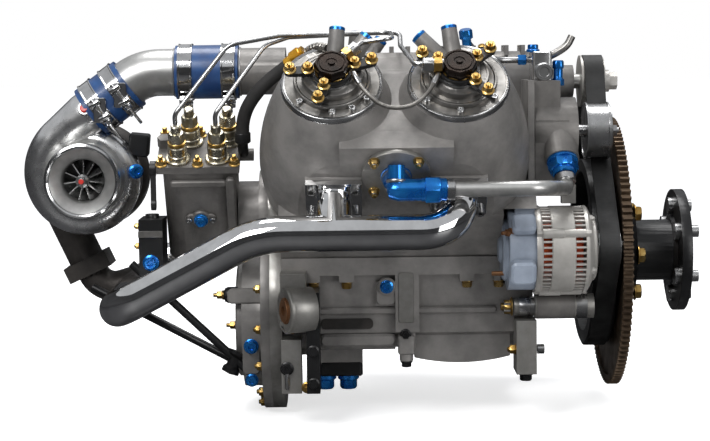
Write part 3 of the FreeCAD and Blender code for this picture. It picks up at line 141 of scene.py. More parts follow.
def carried(path, radius, around=16, braid=0.0):
    """A round section carried along a path: p(s) + r (n(s) cos t + b(s) sin t), closed at both ends.

    A braid swells r by its share of sin(4 t + s) sin(4 t - s), which makes two sets of crossed strands.
    """
    turn = 2 * np.pi * np.arange(around) / around
    heading = np.gradient(path, axis=0)
    heading /= np.linalg.norm(heading, axis=1, keepdims=True)
    across = np.cross(heading, (0.31, 0.87, 0.38))
    across /= np.linalg.norm(across, axis=1, keepdims=True)
    upward = np.cross(heading, across)
    row = np.arange(len(path))[:, None] * 1.15
    swell = radius * (1 + braid * np.sin(4 * turn + row) * np.sin(4 * turn - row))
    points = (path[:, None] + swell[..., None] * (across[:, None] * np.cos(turn)[:, None]
                                                  + upward[:, None] * np.sin(turn)[:, None]))
    ends = [np.repeat(path[None, end:end + 1], around, axis=1) for end in (0, len(path) - 1)]
    return skin(np.concatenate([ends[0], points, ends[1]]))


def placed(shape, at=(0, 0, 0), along=(0, 0, 1), spin=0.0):
    """The shape spun about its own +Z, which is then turned to a direction, and moved to a place."""
    points, faces = shape
    up = np.array(along, float) / np.linalg.norm(along)
    side = np.array((1.0, 0, 0)) if abs(up[0]) < 0.9 else np.array((0, 1.0, 0))
    side -= up * (side @ up)
    side /= np.linalg.norm(side)
    other = np.cross(up, side)
    angle = math.radians(spin)
    axes = np.array([side * math.cos(angle) + other * math.sin(angle),
                     other * math.cos(angle) - side * math.sin(angle), up])
    return points @ axes + np.array(at, float), faces


def joined(*shapes):
    """Several shapes as one."""
    points = [shape[0] for shape in shapes]
    starts = np.concatenate([[0], np.cumsum([len(part) for part in points])[:-1]])
    return np.concatenate(points), np.concatenate([shape[1] + start for shape, start in zip(shapes, starts)])


def flipped(shape):
    """The shape reflected from the near side to the far side, with its faces turned back outwards."""
    return shape[0] * (1, -1, 1), shape[1][:, ::-1]


def both_sides(shape, shift=0.0):
    """The shape and its reflection, which is moved along the engine."""
    points, faces = flipped(shape)
    return joined(shape, (points + (shift, 0, 0), faces))


HALF = math.sqrt(0.5)
BANK_OUT = (0, -HALF, -HALF)
SHARP_EDGE = math.radians(34)
NEAR_BANK = np.array([(1, 0, 0), (0, HALF, HALF), (0, -HALF, HALF)])


def on_bank(shape, station):
    """A shape in an upright cylinder's axes, +Y to the valley and +Z up the bore, laid to the near bank."""
    points, faces = shape
    return (points + (station, 0, 0)) @ NEAR_BANK, faces


def on_turbo(shape):
    """A shape about +Z set on the turbocharger's axis, with +Z to the near side."""
    return placed(shape, (TURBO_X, 0, TURBO_Z), NEARWARD)


def piece(name, shape, finish, body="engine", replaces=()):
    """A Blender object from a shape, with its doubles merged and its edges kept sharp, riding on its body.

    Its material slot holds the finish of that name.
    """
    points, faces = shape
    mesh = bpy.data.meshes.new(name)
    mesh.from_pydata((points * MM).tolist(), [], faces.tolist())
    shaped = bmesh.new()
    shaped.from_mesh(mesh)
    bmesh.ops.remove_doubles(shaped, verts=shaped.verts, dist=1e-6)
    bmesh.ops.dissolve_degenerate(shaped, edges=shaped.edges, dist=1e-7)
    shaped.to_mesh(mesh)
    shaped.free()
    mesh.shade_smooth()
    mesh.set_sharp_from_angle(angle=SHARP_EDGE)
    mesh.materials.append(FINISHES[finish])
    made = bpy.data.objects.new(name, mesh)
    bpy.context.scene.collection.objects.link(made)
    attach(made, body)
    if replaces:
        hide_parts(*replaces)
    return made


def hex_bolt(radius, height, flange=1.2, stud=0.0):
    """A hexagon head on a round flange, with a chamfered crown and perhaps the end of a stud above it."""
    rows = [(0, 0), (radius * flange, 0), (radius * flange, height * 0.14), (radius, height * 0.26, 6),
            (radius, height * 0.84, 6), (radius * 0.84, height), (radius * 0.5, height)]
    if stud:
        rows += [(radius * 0.5, height + stud - 0.8), (radius * 0.38, height + stud), (0, height + stud)]
    else:
        rows += [(0, height * 0.97)]
    return turned(rows, 24)


def cap_screw(radius, height):
    """A round head with a six-sided socket in it."""
    well = radius * 0.52
    return turned([(0, 0), (radius, 0), (radius, height - radius * 0.14), (radius * 0.86, height),
                   (radius * 0.56, height), (well, height - 0.3, 6), (well, height * 0.4, 6),
                   (0, height * 0.36)], 24)


def plug(radius, height):
    """A threaded plug: a round shoulder, a hexagon and a dished end."""
    return turned([(0, 0), (radius * 1.25, 0), (radius * 1.25, height * 0.3), (radius * 1.1, height * 0.38),
                   (radius, height * 0.42, 6), (radius, height * 0.88, 6), (radius * 0.84, height),
                   (radius * 0.5, height), (radius * 0.4, height * 0.8), (0, height * 0.78)], 24)


def ring_of(section, around=64):
    """A ring from a closed outline of (radius, height) points."""
    return turned(list(section) + [section[0]], around)


# ---------------------------------------------------------------- shader groups


def socket(group, name, kind, direction, value=None):
    """A new input or output on a group, perhaps with its value."""
    made = group.interface.new_socket(name=name, in_out=direction, socket_type=kind)
    if value is not None:
        made.default_value = value
    return made


def new_group(name, inputs, outputs):
    """A shader node group with its own input and output nodes."""
    group = bpy.data.node_groups.new(name, "ShaderNodeTree")
    for label, kind, value in inputs:
        socket(group, label, kind, "INPUT", value)
    for label, kind in outputs:
        socket(group, label, kind, "OUTPUT")
    return group, group.nodes.new("NodeGroupInput"), group.nodes.new("NodeGroupOutput")


def add(tree, kind, links=(), **settings):
    """A node with its settings and, by input name or number, its values or the sockets that feed it."""
    node = tree.nodes.new(kind)
    for key, value in settings.items():
        setattr(node, key, value)
    for key, value in dict(links).items():
        if isinstance(value, bpy.types.NodeSocket):
            tree.links.new(value, node.inputs[key])
        else:
            node.inputs[key].default_value = value
    return node


FLOAT, VECTOR = "NodeSocketFloat", "NodeSocketVector"


def grain_group():
    """Sand-cast skin: fine grain over broad unevenness, as a height and as a light and dark mask."""
    group, given, out = new_group(
        "cast_grain", (("Place", VECTOR, None), ("Scale", FLOAT, 900.0), ("Broad", FLOAT, 22.0)),
        (("Height", FLOAT), ("Mask", FLOAT)))
    place, scale, spread = given.outputs["Place"], given.outputs["Scale"], given.outputs["Broad"]
    fine = add(group, "ShaderNodeTexNoise",
               {"Vector": place, "Scale": scale, "Detail": 3.0, "Roughness": 0.7})
    broad = add(group, "ShaderNodeTexNoise",
                {"Vector": place, "Scale": spread, "Detail": 5.0, "Roughness": 0.6})
    height = add(group, "ShaderNodeMath", {0: fine.outputs["Fac"], 1: broad.outputs["Fac"]}, operation="ADD")
    mask = add(group, "ShaderNodeMapRange",
               {"Value": broad.outputs["Fac"], "From Min": 0.32, "From Max": 0.68})
    group.links.new(height.outputs[0], out.inputs["Height"])
    group.links.new(mask.outputs["Result"], out.inputs["Mask"])
    return group


def brush_group():
    """Turned or drawn metal: fine streaks stretched along one axis."""
    group, given, out = new_group(
        "brush_marks", (("Place", VECTOR, None), ("Stretch", VECTOR, (1.0, 1.0, 1.0)),
                        ("Scale", FLOAT, 60.0)),
        (("Height", FLOAT), ("Mask", FLOAT)))
    place, scale, stretch = given.outputs["Place"], given.outputs["Scale"], given.outputs["Stretch"]
    stretched = add(group, "ShaderNodeVectorMath", {0: place, 1: stretch}, operation="MULTIPLY")
    streaks = add(group, "ShaderNodeTexNoise",
                  {"Vector": stretched.outputs[0], "Scale": scale, "Detail": 4.0, "Roughness": 0.65})
    smears = add(group, "ShaderNodeTexNoise", {"Vector": place, "Scale": 45.0, "Detail": 3.0})
    mask = add(group, "ShaderNodeMapRange",
               {"Value": smears.outputs["Fac"], "From Min": 0.35, "From Max": 0.7})
    group.links.new(streaks.outputs["Fac"], out.inputs["Height"])
    group.links.new(mask.outputs["Result"], out.inputs["Mask"])
    return group


GRAIN = grain_group()
BRUSH = brush_group()

# ---------------------------------------------------------------- finishes


def linear(red, green, blue):
    """A colour as it is read on a screen, 0 to 255, as linear light."""
    screen = np.array((red, green, blue)) / 255
    light = np.where(screen > 0.04, ((screen + 0.055) / 1.055) ** 2.4, screen / 12.92)
    return (*light.tolist(), 1.0)


def finish_of(name, dark, light, metallic, rough, grain=None, brush=None, bump=0.3, depth=0.0006, coat=0.0):
    """A material between two colours, with its grain or brush marks in colour, roughness and bump."""
    material = bpy.data.materials.new(name)
    material.use_nodes = True
    tree = material.node_tree
    shader = tree.nodes["Principled BSDF"]
    place = add(tree, "ShaderNodeTexCoord").outputs["Object"]
    if brush:
        marks = add(tree, "ShaderNodeGroup", node_tree=BRUSH)
        marks.inputs["Stretch"].default_value = brush
    else:
        marks = add(tree, "ShaderNodeGroup", node_tree=GRAIN)
        marks.inputs["Scale"].default_value = grain or 900.0
    tree.links.new(place, marks.inputs["Place"])
    blend = add(tree, "ShaderNodeMix", {0: marks.outputs["Mask"]}, data_type="RGBA")
    blend.inputs[6].default_value, blend.inputs[7].default_value = linear(*dark), linear(*light)
    tree.links.new(blend.outputs[2], shader.inputs["Base Color"])
    spread = add(tree, "ShaderNodeMapRange",
                 {"Value": marks.outputs["Mask"], "To Min": rough[1], "To Max": rough[0]})
    tree.links.new(spread.outputs["Result"], shader.inputs["Roughness"])
    shader.inputs["Metallic"].default_value = metallic
    shader.inputs["Coat Weight"].default_value = coat
    shader.inputs["Coat Roughness"].default_value = 0.12
    relief = add(tree, "ShaderNodeBump",
                 {"Height": marks.outputs["Height"], "Strength": bump, "Distance": depth})
    tree.links.new(relief.outputs["Normal"], shader.inputs["Normal"])
    return material


# Each finish's dark and light colour as read on a screen, metallic share, roughness span and marks.
RECIPES = {
    "casting": ((104, 102, 100), (136, 133, 130), 0.5, (0.4, 0.58), dict(bump=0.22)),
    "gearcase": ((120, 118, 114), (158, 156, 152), 0.75, (0.3, 0.48), dict(grain=600.0)),
    "pump_casting": ((80, 78, 76), (114, 111, 108), 0.5, (0.42, 0.58), {}),
    "machined": ((150, 150, 150), (205, 205, 205), 1.0, (0.2, 0.34), dict(brush=(1, 14, 14), bump=0.12)),
    "polished": ((190, 190, 190), (225, 225, 225), 1.0, (0.06, 0.14), dict(brush=(10, 1, 10), bump=0.03)),
    "scroll_polish": ((206, 206, 206), (236, 236, 236), 1.0, (0.2, 0.32), dict(brush=(6, 1, 6), bump=0.06)),
    "pale_brass": ((150, 144, 128), (206, 200, 182), 1.0, (0.22, 0.34), dict(brush=(10, 10, 1), bump=0.08)),
    "satin_duct": ((170, 170, 168), (205, 204, 202), 0.9, (0.3, 0.42), dict(brush=(3, 3, 3), bump=0.1)),
    "chrome": ((215, 215, 215), (235, 235, 235), 1.0, (0.03, 0.06), dict(brush=(1, 4, 4), bump=0.02)),
    "black_satin": ((14, 14, 15), (30, 30, 31), 0.3, (0.28, 0.42), dict(grain=700.0, bump=0.12)),
    "ring_steel": ((84, 70, 57), (114, 97, 80), 0.85, (0.34, 0.5), dict(brush=(1, 9, 9), bump=0.2)),
    "iron": ((40, 38, 37), (68, 64, 61), 0.6, (0.45, 0.65), dict(grain=500.0, bump=0.5)),
    "blue_silicone": ((20, 52, 98), (36, 74, 122), 0.0, (0.3, 0.42),
                      dict(brush=(6, 6, 6), bump=0.1, coat=0.25)),
    "blue_anodised": ((10, 94, 178), (40, 138, 214), 0.8, (0.16, 0.28),
                      dict(brush=(1, 10, 10), bump=0.06, coat=0.3)),
    "gold": ((170, 134, 70), (222, 190, 124), 1.0, (0.22, 0.36), dict(brush=(8, 8, 1), bump=0.1)),
    "bronze": ((120, 84, 58), (160, 118, 84), 0.8, (0.4, 0.55), dict(grain=500.0)),
    "belt": ((14, 14, 14), (28, 28, 28), 0.0, (0.55, 0.7), dict(brush=(1, 6, 6))),
    "rubber": ((22, 21, 21), (38, 36, 35), 0.0, (0.6, 0.75), dict(grain=500.0)),
    "winding": ((170, 52, 20), (224, 96, 40), 0.4, (0.3, 0.5), dict(brush=(2, 30, 30))),
    "alternator": ((156, 153, 148), (192, 189, 184), 0.6, (0.34, 0.48), dict(grain=700.0)),
    "cover_blue": ((104, 112, 124), (130, 139, 152), 0.05, (0.38, 0.5), dict(grain=600.0, bump=0.15)),
    "black_plastic": ((16, 16, 17), (30, 30, 31), 0.0, (0.35, 0.5), dict(grain=800.0, bump=0.15)),
    "braid": ((66, 64, 62), (150, 147, 142), 0.9, (0.3, 0.5), dict(grain=1400.0, bump=0.2)),
    "red_plastic": ((150, 26, 22), (186, 44, 34), 0.0, (0.3, 0.42), dict(grain=900.0, bump=0.1)),
    "cap_bronze": ((30, 25, 22), (58, 48, 42), 0.9, (0.2, 0.32), dict(brush=(4, 4, 4), bump=0.06, coat=0.2)),
    "head_steel": ((116, 114, 111), (164, 161, 157), 0.95, (0.28, 0.42), dict(brush=(6, 6, 6), bump=0.1)),
    "yellow_gold": ((196, 138, 20), (232, 178, 52), 0.8, (0.2, 0.3),
                    dict(brush=(1, 12, 12), bump=0.06, coat=0.3)),
}
FINISHES = {name: finish_of(name, *recipe, **marks) for name, (*recipe, marks) in RECIPES.items()}
NODE_FINISH = {
    "casting": ("cylinder_block", "lower_crankcase", "blower_housing", "rear_cover"),
    "head_steel": ("near_rear_head", "near_front_head", "far_rear_head", "far_front_head"),
    "gearcase": ("rear_gearcase", "alternator_mounting", "mount_brackets", "coolant_plates"),
    "pump_casting": ("water_pump_housing", "injection_pump_body"),
    "black_satin": ("propeller_hub", "fuel_filter", "crank_pulley", "mount_plates", "starter_motor",
                    "injector_clamps", "turbo_braces"),
    "ring_steel": ("ring_gear",),
    "iron": ("turbine_housing", "turbo_bearing_housing", "exhaust_collector", "crankshaft",
             "cylinder_liners"),
    "chrome": ("near_exhaust_pipe", "far_exhaust_pipe"),
    "polished": ("compressor_housing", "coupler_clamps"),
    "satin_duct": ("charge_elbow", "coolant_pipe", "pistons", "blower_rotor_upper", "blower_rotor_lower"),
    "blue_silicone": ("hose_couplers",),
    "blue_anodised": ("coolant_fittings",),
    "gold": ("hub_bolts", "clamp_bolts"),
    "bronze": ("main_bearings", "mount_bushings"),
    "belt": ("drive_belt",),
    "rubber": ("return_hoses",),
    "winding": ("alternator_stator",),
    "alternator": ("alternator_housing", "blower_pulley"),
    "cover_blue": ("alternator_rear_cover",),
    "black_plastic": ("injectors", "fuel_lever"),
    "machined": ("cap_screws", "drive_lugs", "delivery_valves", "injection_lines", "connecting_rods",
                 "piston_pins", "pump_camshaft", "alternator_rotor", "water_pump_rotor", "turbo_rotor"),
}
for finish, names in NODE_FINISH.items():
    for name in names:
        mesh = nodes[name].data
        mesh.materials.clear()
        mesh.materials.append(FINISHES[finish])

# The nodes whose edges are eased, by the width of the easing in millimetres.
EASED_EDGES = {
    0.8: ("propeller_hub", "coolant_plates", "near_exhaust_pipe", "far_exhaust_pipe"),
    1.0: ("mount_plates", "injector_clamps", "crank_pulley"),
    1.2: ("near_rear_head", "near_front_head", "far_rear_head", "far_front_head", "alternator_mounting",
          "turbo_bearing_housing"),
    1.4: ("blower_housing", "exhaust_collector", "starter_motor"),
    1.6: ("rear_cover", "rear_gearcase", "turbine_housing", "alternator_rear_cover"),
    2.0: ("injection_pump_body", "mount_brackets", "fuel_filter"),
    2.2: ("water_pump_housing",),
    2.4: ("cylinder_block", "lower_crankcase"),
}
for width, names in EASED_EDGES.items():
    for name in names:
        weld = nodes[name].modifiers.new("merge", "WELD")
        weld.merge_threshold = 1e-6
        easing = nodes[name].modifiers.new("eased_edges", "BEVEL")
        easing.width = width * MM
        easing.segments = 2
        easing.limit_method = "ANGLE"
        easing.angle_limit = math.radians(32)
        easing.harden_normals = True

# ---------------------------------------------------------------- driving places, in millimetres

BELOW, NEARWARD, REARWARD, FORWARD = (0, 0, -1), (0, -1, 0), (-1, 0, 0), (1, 0, 0)
CYLINDERS = (-474.0, -319.0)
BANK_SHIFT = 24.0
CLAMP_TOP, CLAMP_REACH, CLAMP_INNER = 359.0, 51.0, 29.0
HEAD_TOP = 336.0
ARMS = ((180, 17, -109), (150, 39, -50))
HORN_ENDS = ((((3, 28, 340), (7, 66, 364)), ((18, 26, 340), (44, 55, 360))),
             (((-14, 26, 340), (-48, 55, 360)), ((-4, 28, 340), (-10, 66, 364))))
HORN_FOOT, HORN_TIP = 11.5, 9.7
FUEL_TURNS, FUEL_HEIGHT = (46, 180), 364.0
SCREW_CIRCLE, SCREW_TURNS, ARM_COVERS = 51.5, (-90, -62, -35, -140, 155, 25), 14
PORT_HEIGHT, PORT_FACE = 226.0, 96.0
PLATE_X, PLATE_HEIGHT = -397.0, 265.0
PLATE_BASE, PLATE_FACE, ELBOW_ROOT, ELBOW_CORNER = 90.0, 91.0, 94.0, 114.0
DUCT_HEIGHT = 251.0
PIVOT = (-140.0, -56.0)
HUB_FLANGE, RING_FACE = -70.6, -94.4
TURBO_X, TURBO_Z = -812.0, 108.0
PUMP_AT, PUMP_LEAN = np.array((-648.5, -120.0, 151.0)), math.radians(30)
VALVES = ((-26, -22), (25, -22), (-12, 18), (37, 18))
SCROLL_END, SCROLL_SWEEP, SCROLL_REACH, SCROLL_GROWTH = 126, 320, 53, 16.6
SCROLL_SLIM, SCROLL_SWELL, PIPE_SWELL = 15.5, 10, 6
ALTERNATOR = (-155.0, 20.0)
WATER_PUMP = (-105.0, 169.0)


def around_ring(shape, circle, turns):
    """Copies of a shape that stands at the given circle's radius, at several turns about +Z."""
    copies = []
    for turn in turns:
        angle = math.radians(turn)
        copies.append(placed(shape, (circle * math.cos(angle), circle * math.sin(angle), 0), spin=turn))
    return joined(*copies)


def each_head(rear, front=None):
    """A piece of all four heads: laid to both near cylinders and reflected to the far bank."""
    near = joined(on_bank(rear, CYLINDERS[0]), on_bank(rear if front is None else front, CYLINDERS[1]))
    return both_sides(near, BANK_SHIFT)


def on_pump(shape):
    """A shape in the injection pump's upright axes, leaned back with the pump."""
    points, faces = shape
    lean = np.array([(1, 0, 0), (0, math.cos(PUMP_LEAN), math.sin(PUMP_LEAN)),
                     (0, -math.sin(PUMP_LEAN), math.cos(PUMP_LEAN))])
    return points @ lean + PUMP_AT, faces


# ---------------------------------------------------------------- cylinder heads


def clamp_bolts(arms):
    """Two gold nuts with stud ends on each arm of an injector's clamp."""
    bolt = placed(hex_bolt(6.6, 8.5, stud=3), (0, 0, CLAMP_TOP))
    return joined(around_ring(bolt, CLAMP_REACH, arms), around_ring(bolt, CLAMP_INNER, arms))


def head_screws(arms):
    """Socket screws round the head plate, apart from the ones that an arm covers."""
    turns = [turn for turn in SCREW_TURNS
             if min(abs((turn - arm + 180) % 360 - 180) for arm in arms) > ARM_COVERS]
    return around_ring(placed(cap_screw(4.4, 4.6), (0, 0, HEAD_TOP)), SCREW_CIRCLE, turns)


def on_fuel_line(shape, turn, reach):
    """A shape on a fuel line, which leaves its injector's cap level at a turn about the bore."""
    out = (math.cos(math.radians(turn)), math.sin(math.radians(turn)), 0)
    return placed(shape, (reach * out[0], reach * out[1], FUEL_HEIGHT), out)


def horn_caps(ends):
    """The blue caps on the open ends of a head's two coolant horns."""
    cap = turned([(0, -3), (9.9, -3), (9.9, 0.4), (9.2, 1.2), (7.4, 1.2), (6.8, 2), (0, 2)], 28)
    return joined(*[placed(cap, tip, np.subtract(tip, foot)) for foot, tip in ends])


def horn_sleeves(ends):
    """The cast skin of each coolant horn, a little wider at its foot."""
    sleeves = []
    for foot, tip in ends:
        out = np.subtract(tip, foot)
        reach = np.linalg.norm(out)
        sleeves.append(placed(turned([(0, 0), (HORN_FOOT, 0), (HORN_TIP, reach - 3),
                                      (HORN_TIP - 0.6, reach - 2.4), (0, reach - 2.4)], 36), foot, out))
    return joined(*sleeves)


# An eight-sided cap with a ring groove and a small centre screw.
injector_cap = turned([(0, 359), (21.6, 359, 8), (21.6, 369, 8), (20.2, 371.5, 8), (17.2, 371.5), (16.4, 370),
                       (15.4, 370), (14.8, 371.6), (7, 371.6), (6.4, 370.6), (4.2, 370.6), (4, 372.6),
                       (0, 372.6)])
cap_rim = turned([(0, 350), (19.4, 350), (20.4, 351), (20.8, 358.6), (20.2, 359.4), (0, 359.4)])
# The brass nut where a fuel line enters a cap, and the pale nut on the end of the line.
line_union = turned([(0, 0), (10, 0, 6), (10, 9, 6), (8.6, 10), (0, 10)], 24)
line_nut = turned([(0, 0), (8.6, 0), (9.4, 1, 6), (9.4, 12, 6), (7, 13.6), (0, 13.6)], 24)
# Turned lands that stand on the head plate, one above another.
head_lands = joined(
    ring_of([(44, 342), (44.8, 342.6), (46.6, 342.6), (47.4, 341.4), (47.4, 336), (44, 336)], 96),
    ring_of([(34, 349), (34.4, 350), (36.4, 350), (37.2, 348.6), (37.2, 342), (34, 342)], 96))
# The flat round collar that the clamp's arms press on.
injector_collar = turned([(0, 344), (26.5, 344), (26.5, 351), (25.6, 352.4), (22, 352.4), (0, 352.4)])
# The turned lip round a head plate, with a groove in its top.
head_rim = ring_of([(58.4, 328), (63.4, 328), (63.4, 334.2), (62, 336.4), (60.6, 335.6), (59.8, 336.4),
                    (58.4, 336)], 96)

piece("clamp_bolt_heads", each_head(*map(clamp_bolts, ARMS)), "gold", replaces=("clamp_bolts",))
piece("injector_caps", each_head(injector_cap), "cap_bronze", replaces=("injectors",))
piece("cap_rims", each_head(cap_rim), "gold")
piece("fuel_unions", each_head(*[on_fuel_line(line_union, turn, 21) for turn in FUEL_TURNS]), "gold")
piece("union_sleeves", each_head(*[on_fuel_line(line_nut, turn, 31.5) for turn in FUEL_TURNS]), "machined")
piece("head_lands", each_head(head_lands), "head_steel")
piece("injector_collars", each_head(injector_collar), "machined")
piece("head_rims", each_head(head_rim), "machined")
piece("horn_caps", each_head(*map(horn_caps, HORN_ENDS)), "blue_anodised")
piece("horn_sleeves", each_head(*map(horn_sleeves, HORN_ENDS)), "casting")

port_screw = cap_screw(5.6, 7.4)
port_screws = [on_bank(placed(port_screw, (across, -PORT_FACE, PORT_HEIGHT + level), NEARWARD), station)
               for station in CYLINDERS for across in (-27, 27) for level in (-22, 22)]
screws = joined(each_head(*map(head_screws, ARMS)), both_sides(joined(*port_screws), BANK_SHIFT))
piece("socket_screws", screws, "machined", replaces=("cap_screws",))

# ---------------------------------------------------------------- injection pump


def on_plate(shape, places):
    """Copies of a shape that stand on the pump's top plate."""
    return joined(*[on_pump((shape[0] + (x, y, 0), shape[1])) for x, y in places])


# Holder, ring, union nut and a domed cap, from the pump's plate up.
delivery_valve = turned([
    (0, -34), (9, -34), (9, -1), (16.4, -1), (16.4, 3), (15.2, 4.2), (12.6, 4.4), (12.6, 9), (11.6, 9.8),
    (11.6, 11), (12.6, 11.8), (12.6, 21.6), (11.4, 23), (9.8, 23.4), (9.8, 28.4), (10.6, 29, 6),
    (10.6, 40, 6), (9, 41.6), (6.4, 42), (6.4, 51), (5, 52.4), (0, 52.4)])
valve_ring = ring_of([(9.8, 23.6), (11.6, 24), (11.6, 28), (9.8, 28.4)], 40)
piece("pump_valves", on_plate(delivery_valve, VALVES), "pale_brass",
      replaces=("delivery_valves",))
piece("valve_rings", on_plate(valve_ring, VALVES), "gold")
PLATE_STUDS = ((-47, -34), (0, -35), (47, -34), (-47, 34), (0, 35), (47, 34))
piece("pump_studs", on_plate(hex_bolt(6.2, 8, stud=6), PLATE_STUDS), "gold")
PUMP_BOSS = (0, -38, -80)
pump_front = joined(
    placed(turned([(0, 0), (12.5, 0), (12.5, 3.6), (11, 5.6), (0, 5.6)]), PUMP_BOSS, NEARWARD),
    placed(slab(40, 15, 4.5, 7, 1.2), PUMP_BOSS, NEARWARD),
    placed(slab(12, 110, 9, 5.5, 2), (41, -38, -70), NEARWARD),
    placed(slab(72, 9, 7, 4, 1.5), (0, -38, -24), NEARWARD))
piece("pump_front_boss", on_pump(pump_front), "pump_casting")
piece("pump_plug", on_pump(placed(plug(7.4, 9), (0, -42.5, -80), NEARWARD)), "blue_anodised")
side_screws = joined(*[placed(cap_screw(4, 4.5), (x, -42.6, -80), NEARWARD) for x in (-15.6, 15.6)])
piece("pump_side_screws", on_pump(side_screws), "machined")

filter_low, filter_high = [np.array(corner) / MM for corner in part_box("fuel_filter")]
filter_x, filter_front = (filter_low[0] + filter_high[0]) / 2, filter_low[1]
filter_band = slab(filter_high[0] - filter_low[0] + 1, 9, 1.4, 1.5, 0.5)
piece("filter_band", placed(filter_band, (filter_x, filter_front, filter_high[2] - 24), NEARWARD),
      "head_steel")
piece("filter_plug", placed(plug(8.4, 10), (filter_x, filter_front, filter_low[2] + 20), NEARWARD),
      "blue_anodised")
filter_screws = [placed(hex_bolt(4.4, 5, stud=2), (filter_low[0], filter_front + 10, filter_high[2] - drop),
                        REARWARD) for drop in (14, 40)]
piece("filter_screws", joined(*filter_screws), "gold")

# ---------------------------------------------------------------- charge duct and its clamps

COUPLER_MIDDLE = np.array((-779.0, 0, 218.0))
OUTLET_AXIS = np.array((0.809, 0, 0.588))
DUCT_MIDDLE = np.array((-645.5, 0, DUCT_HEIGHT))
DUCT_AXIS = np.array((1.0, 0, 0))
CLAMP_PLACES = [(COUPLER_MIDDLE + OUTLET_AXIS * step, OUTLET_AXIS, (0.14, -0.98, -0.14))
                for step in (-17, 17)]
CLAMP_PLACES += [(DUCT_MIDDLE + DUCT_AXIS * step, DUCT_AXIS, (0, -0.3, -0.95)) for step in (-29, 29)]


def band_clamp(middle, axis, toward):
    """A rolled band with a raised lip at both edges, two trunnion loops and the T-bolt across them."""
    band = placed(ring_of([(36.6, -9.5), (38.6, -9.5), (38.6, -8), (37.7, -7), (37.7, 7), (38.6, 8),
                           (38.6, 9.5), (36.6, 9.5)], 72), middle, axis)
    out = np.array(toward) - axis * (axis @ np.array(toward))
    out /= np.linalg.norm(out)
    along = np.cross(axis, out)
    seat = middle + out * 43
    loop = turned([(0, -8), (4.4, -8), (4.8, -7), (4.8, 7), (4.4, 8), (0, 8)], 20)
    loops = [placed(loop, seat + along * step, axis) for step in (-11, 11)]
    bridge = placed(slab(17, 34, 3, 3, 0.8), seat - out * 5, out)
    bolt = turned([(0, -19), (3, -19), (3, -2), (2.2, 0), (2.2, 46), (1.8, 47), (0, 47)], 16)
    nut = placed(hex_bolt(5, 6), seat + along * 16, along)
    return joined(band, bridge, *loops, placed(bolt, seat, along), nut)


piece("band_clamps", joined(*[band_clamp(*spot) for spot in CLAMP_PLACES]), "polished",
      replaces=("coupler_clamps",))
duct_bead = ring_of([(31, -1.5), (33, -1), (33.4, 0), (33, 1), (31, 1.5)], 64)
duct_beads = [placed(duct_bead, (x, 0, DUCT_HEIGHT), FORWARD) for x in (-601, -690)]
piece("duct_beads", joined(*duct_beads), "satin_duct")

# ---------------------------------------------------------------- turbocharger

inlet_rim = ring_of([(44.2, 57), (45, 59), (47.2, 60.2), (49.6, 59.4), (50.9, 57.4), (50.9, 54.5), (49.8, 53),
                     (48, 53)], 96)
piece("inlet_rim", on_turbo(inlet_rim), "polished")
rotor_nut = turned([(0, 50), (8.4, 50), (8.8, 52), (6.6, 54), (6, 55, 6), (6, 60, 6), (4.6, 61.5), (0, 62.5)],
                   36)
piece("rotor_nut", on_turbo(rotor_nut), "machined", body="turbo_shaft")


def scroll():
    """The compressor's scroll: a round section on a growing spiral, then a straight pipe to the coupler.

    At share t the centre is SCROLL_REACH + SCROLL_GROWTH t^3 from the axis and has SCROLL_SWEEP (1 - t)
    degrees still to go. The section's radius is SCROLL_SLIM + SCROLL_SWELL t. The pipe leaves square to the
    last radius.
    """
    share = np.linspace(0, 1, 81)
    turn = np.radians(SCROLL_END + SCROLL_SWEEP * (1 - share))
    reach = SCROLL_REACH + SCROLL_GROWTH * share ** 3
    centres = np.stack([reach * np.cos(turn), reach * np.sin(turn), np.zeros(81)], axis=-1)
    radii = SCROLL_SLIM + SCROLL_SWELL * share
    run = np.linspace(4, 62, 15)
    leaving = np.array((math.sin(turn[-1]), -math.cos(turn[-1]), 0))
    centres = np.concatenate([centres, centres[-1] + run[:, None] * leaving])
    radii = np.concatenate([radii, radii[-1] + PIPE_SWELL * np.minimum(run / 50, 1)])
    around = 48
    heading = np.gradient(centres, axis=0)
    heading /= np.linalg.norm(heading, axis=1, keepdims=True)
    outward = np.cross(heading, (0, 0, 1.0))
    sweep = 2 * np.pi * np.arange(around) / around
    points = centres[:, None] + radii[:, None, None] * (
        outward[:, None] * np.cos(sweep)[:, None] + np.array((0, 0, 1.0)) * np.sin(sweep)[:, None])
    ends = [np.repeat(centres[None, end:end + 1], around, axis=1) for end in (0, len(centres) - 1)]
    return skin(np.concatenate([ends[0], points, ends[1]]))


inlet_cone = ring_of([(28.6, -10), (28.6, 44), (31, 47.6), (44, 57), (50.9, 54.5), (50.9, 20), (56, 14),
                      (52, -10)], 96)
piece("compressor_scroll", on_turbo(scroll()), "scroll_polish", replaces=("compressor_housing",))
piece("inlet_cone", on_turbo(inlet_cone), "satin_duct")
rotor_tip = turned([(0, 62), (3.6, 62), (3.6, 64), (2.8, 65), (0, 65)], 24)
piece("rotor_tip", on_turbo(rotor_tip), "red_plastic", body="turbo_shaft")
backplate = turned([(0, -33.8), (69, -33.8), (70.4, -32.6), (70.4, -21.4), (69, -20.2), (0, -20.2)], 96)
backplate_bolts = around_ring(placed(hex_bolt(4.4, 5), (0, 0, -20)), 63, range(12, 372, 45))
piece("compressor_backplate", on_turbo(joined(backplate, backplate_bolts)), "polished")
PLUG_AT, PLUG_OUT = (-809, -26, 203), (-0.12, -0.92, 0.36)
scroll_boss = turned([(0, -4), (10, -4), (10, 5), (9, 6), (6.6, 6), (0, 5)], 36)
scroll_plug = turned([(0, 5), (6.4, 5), (6.4, 8), (5.2, 9.4), (0, 9.6)], 36)
piece("scroll_boss", placed(scroll_boss, PLUG_AT, PLUG_OUT), "machined")
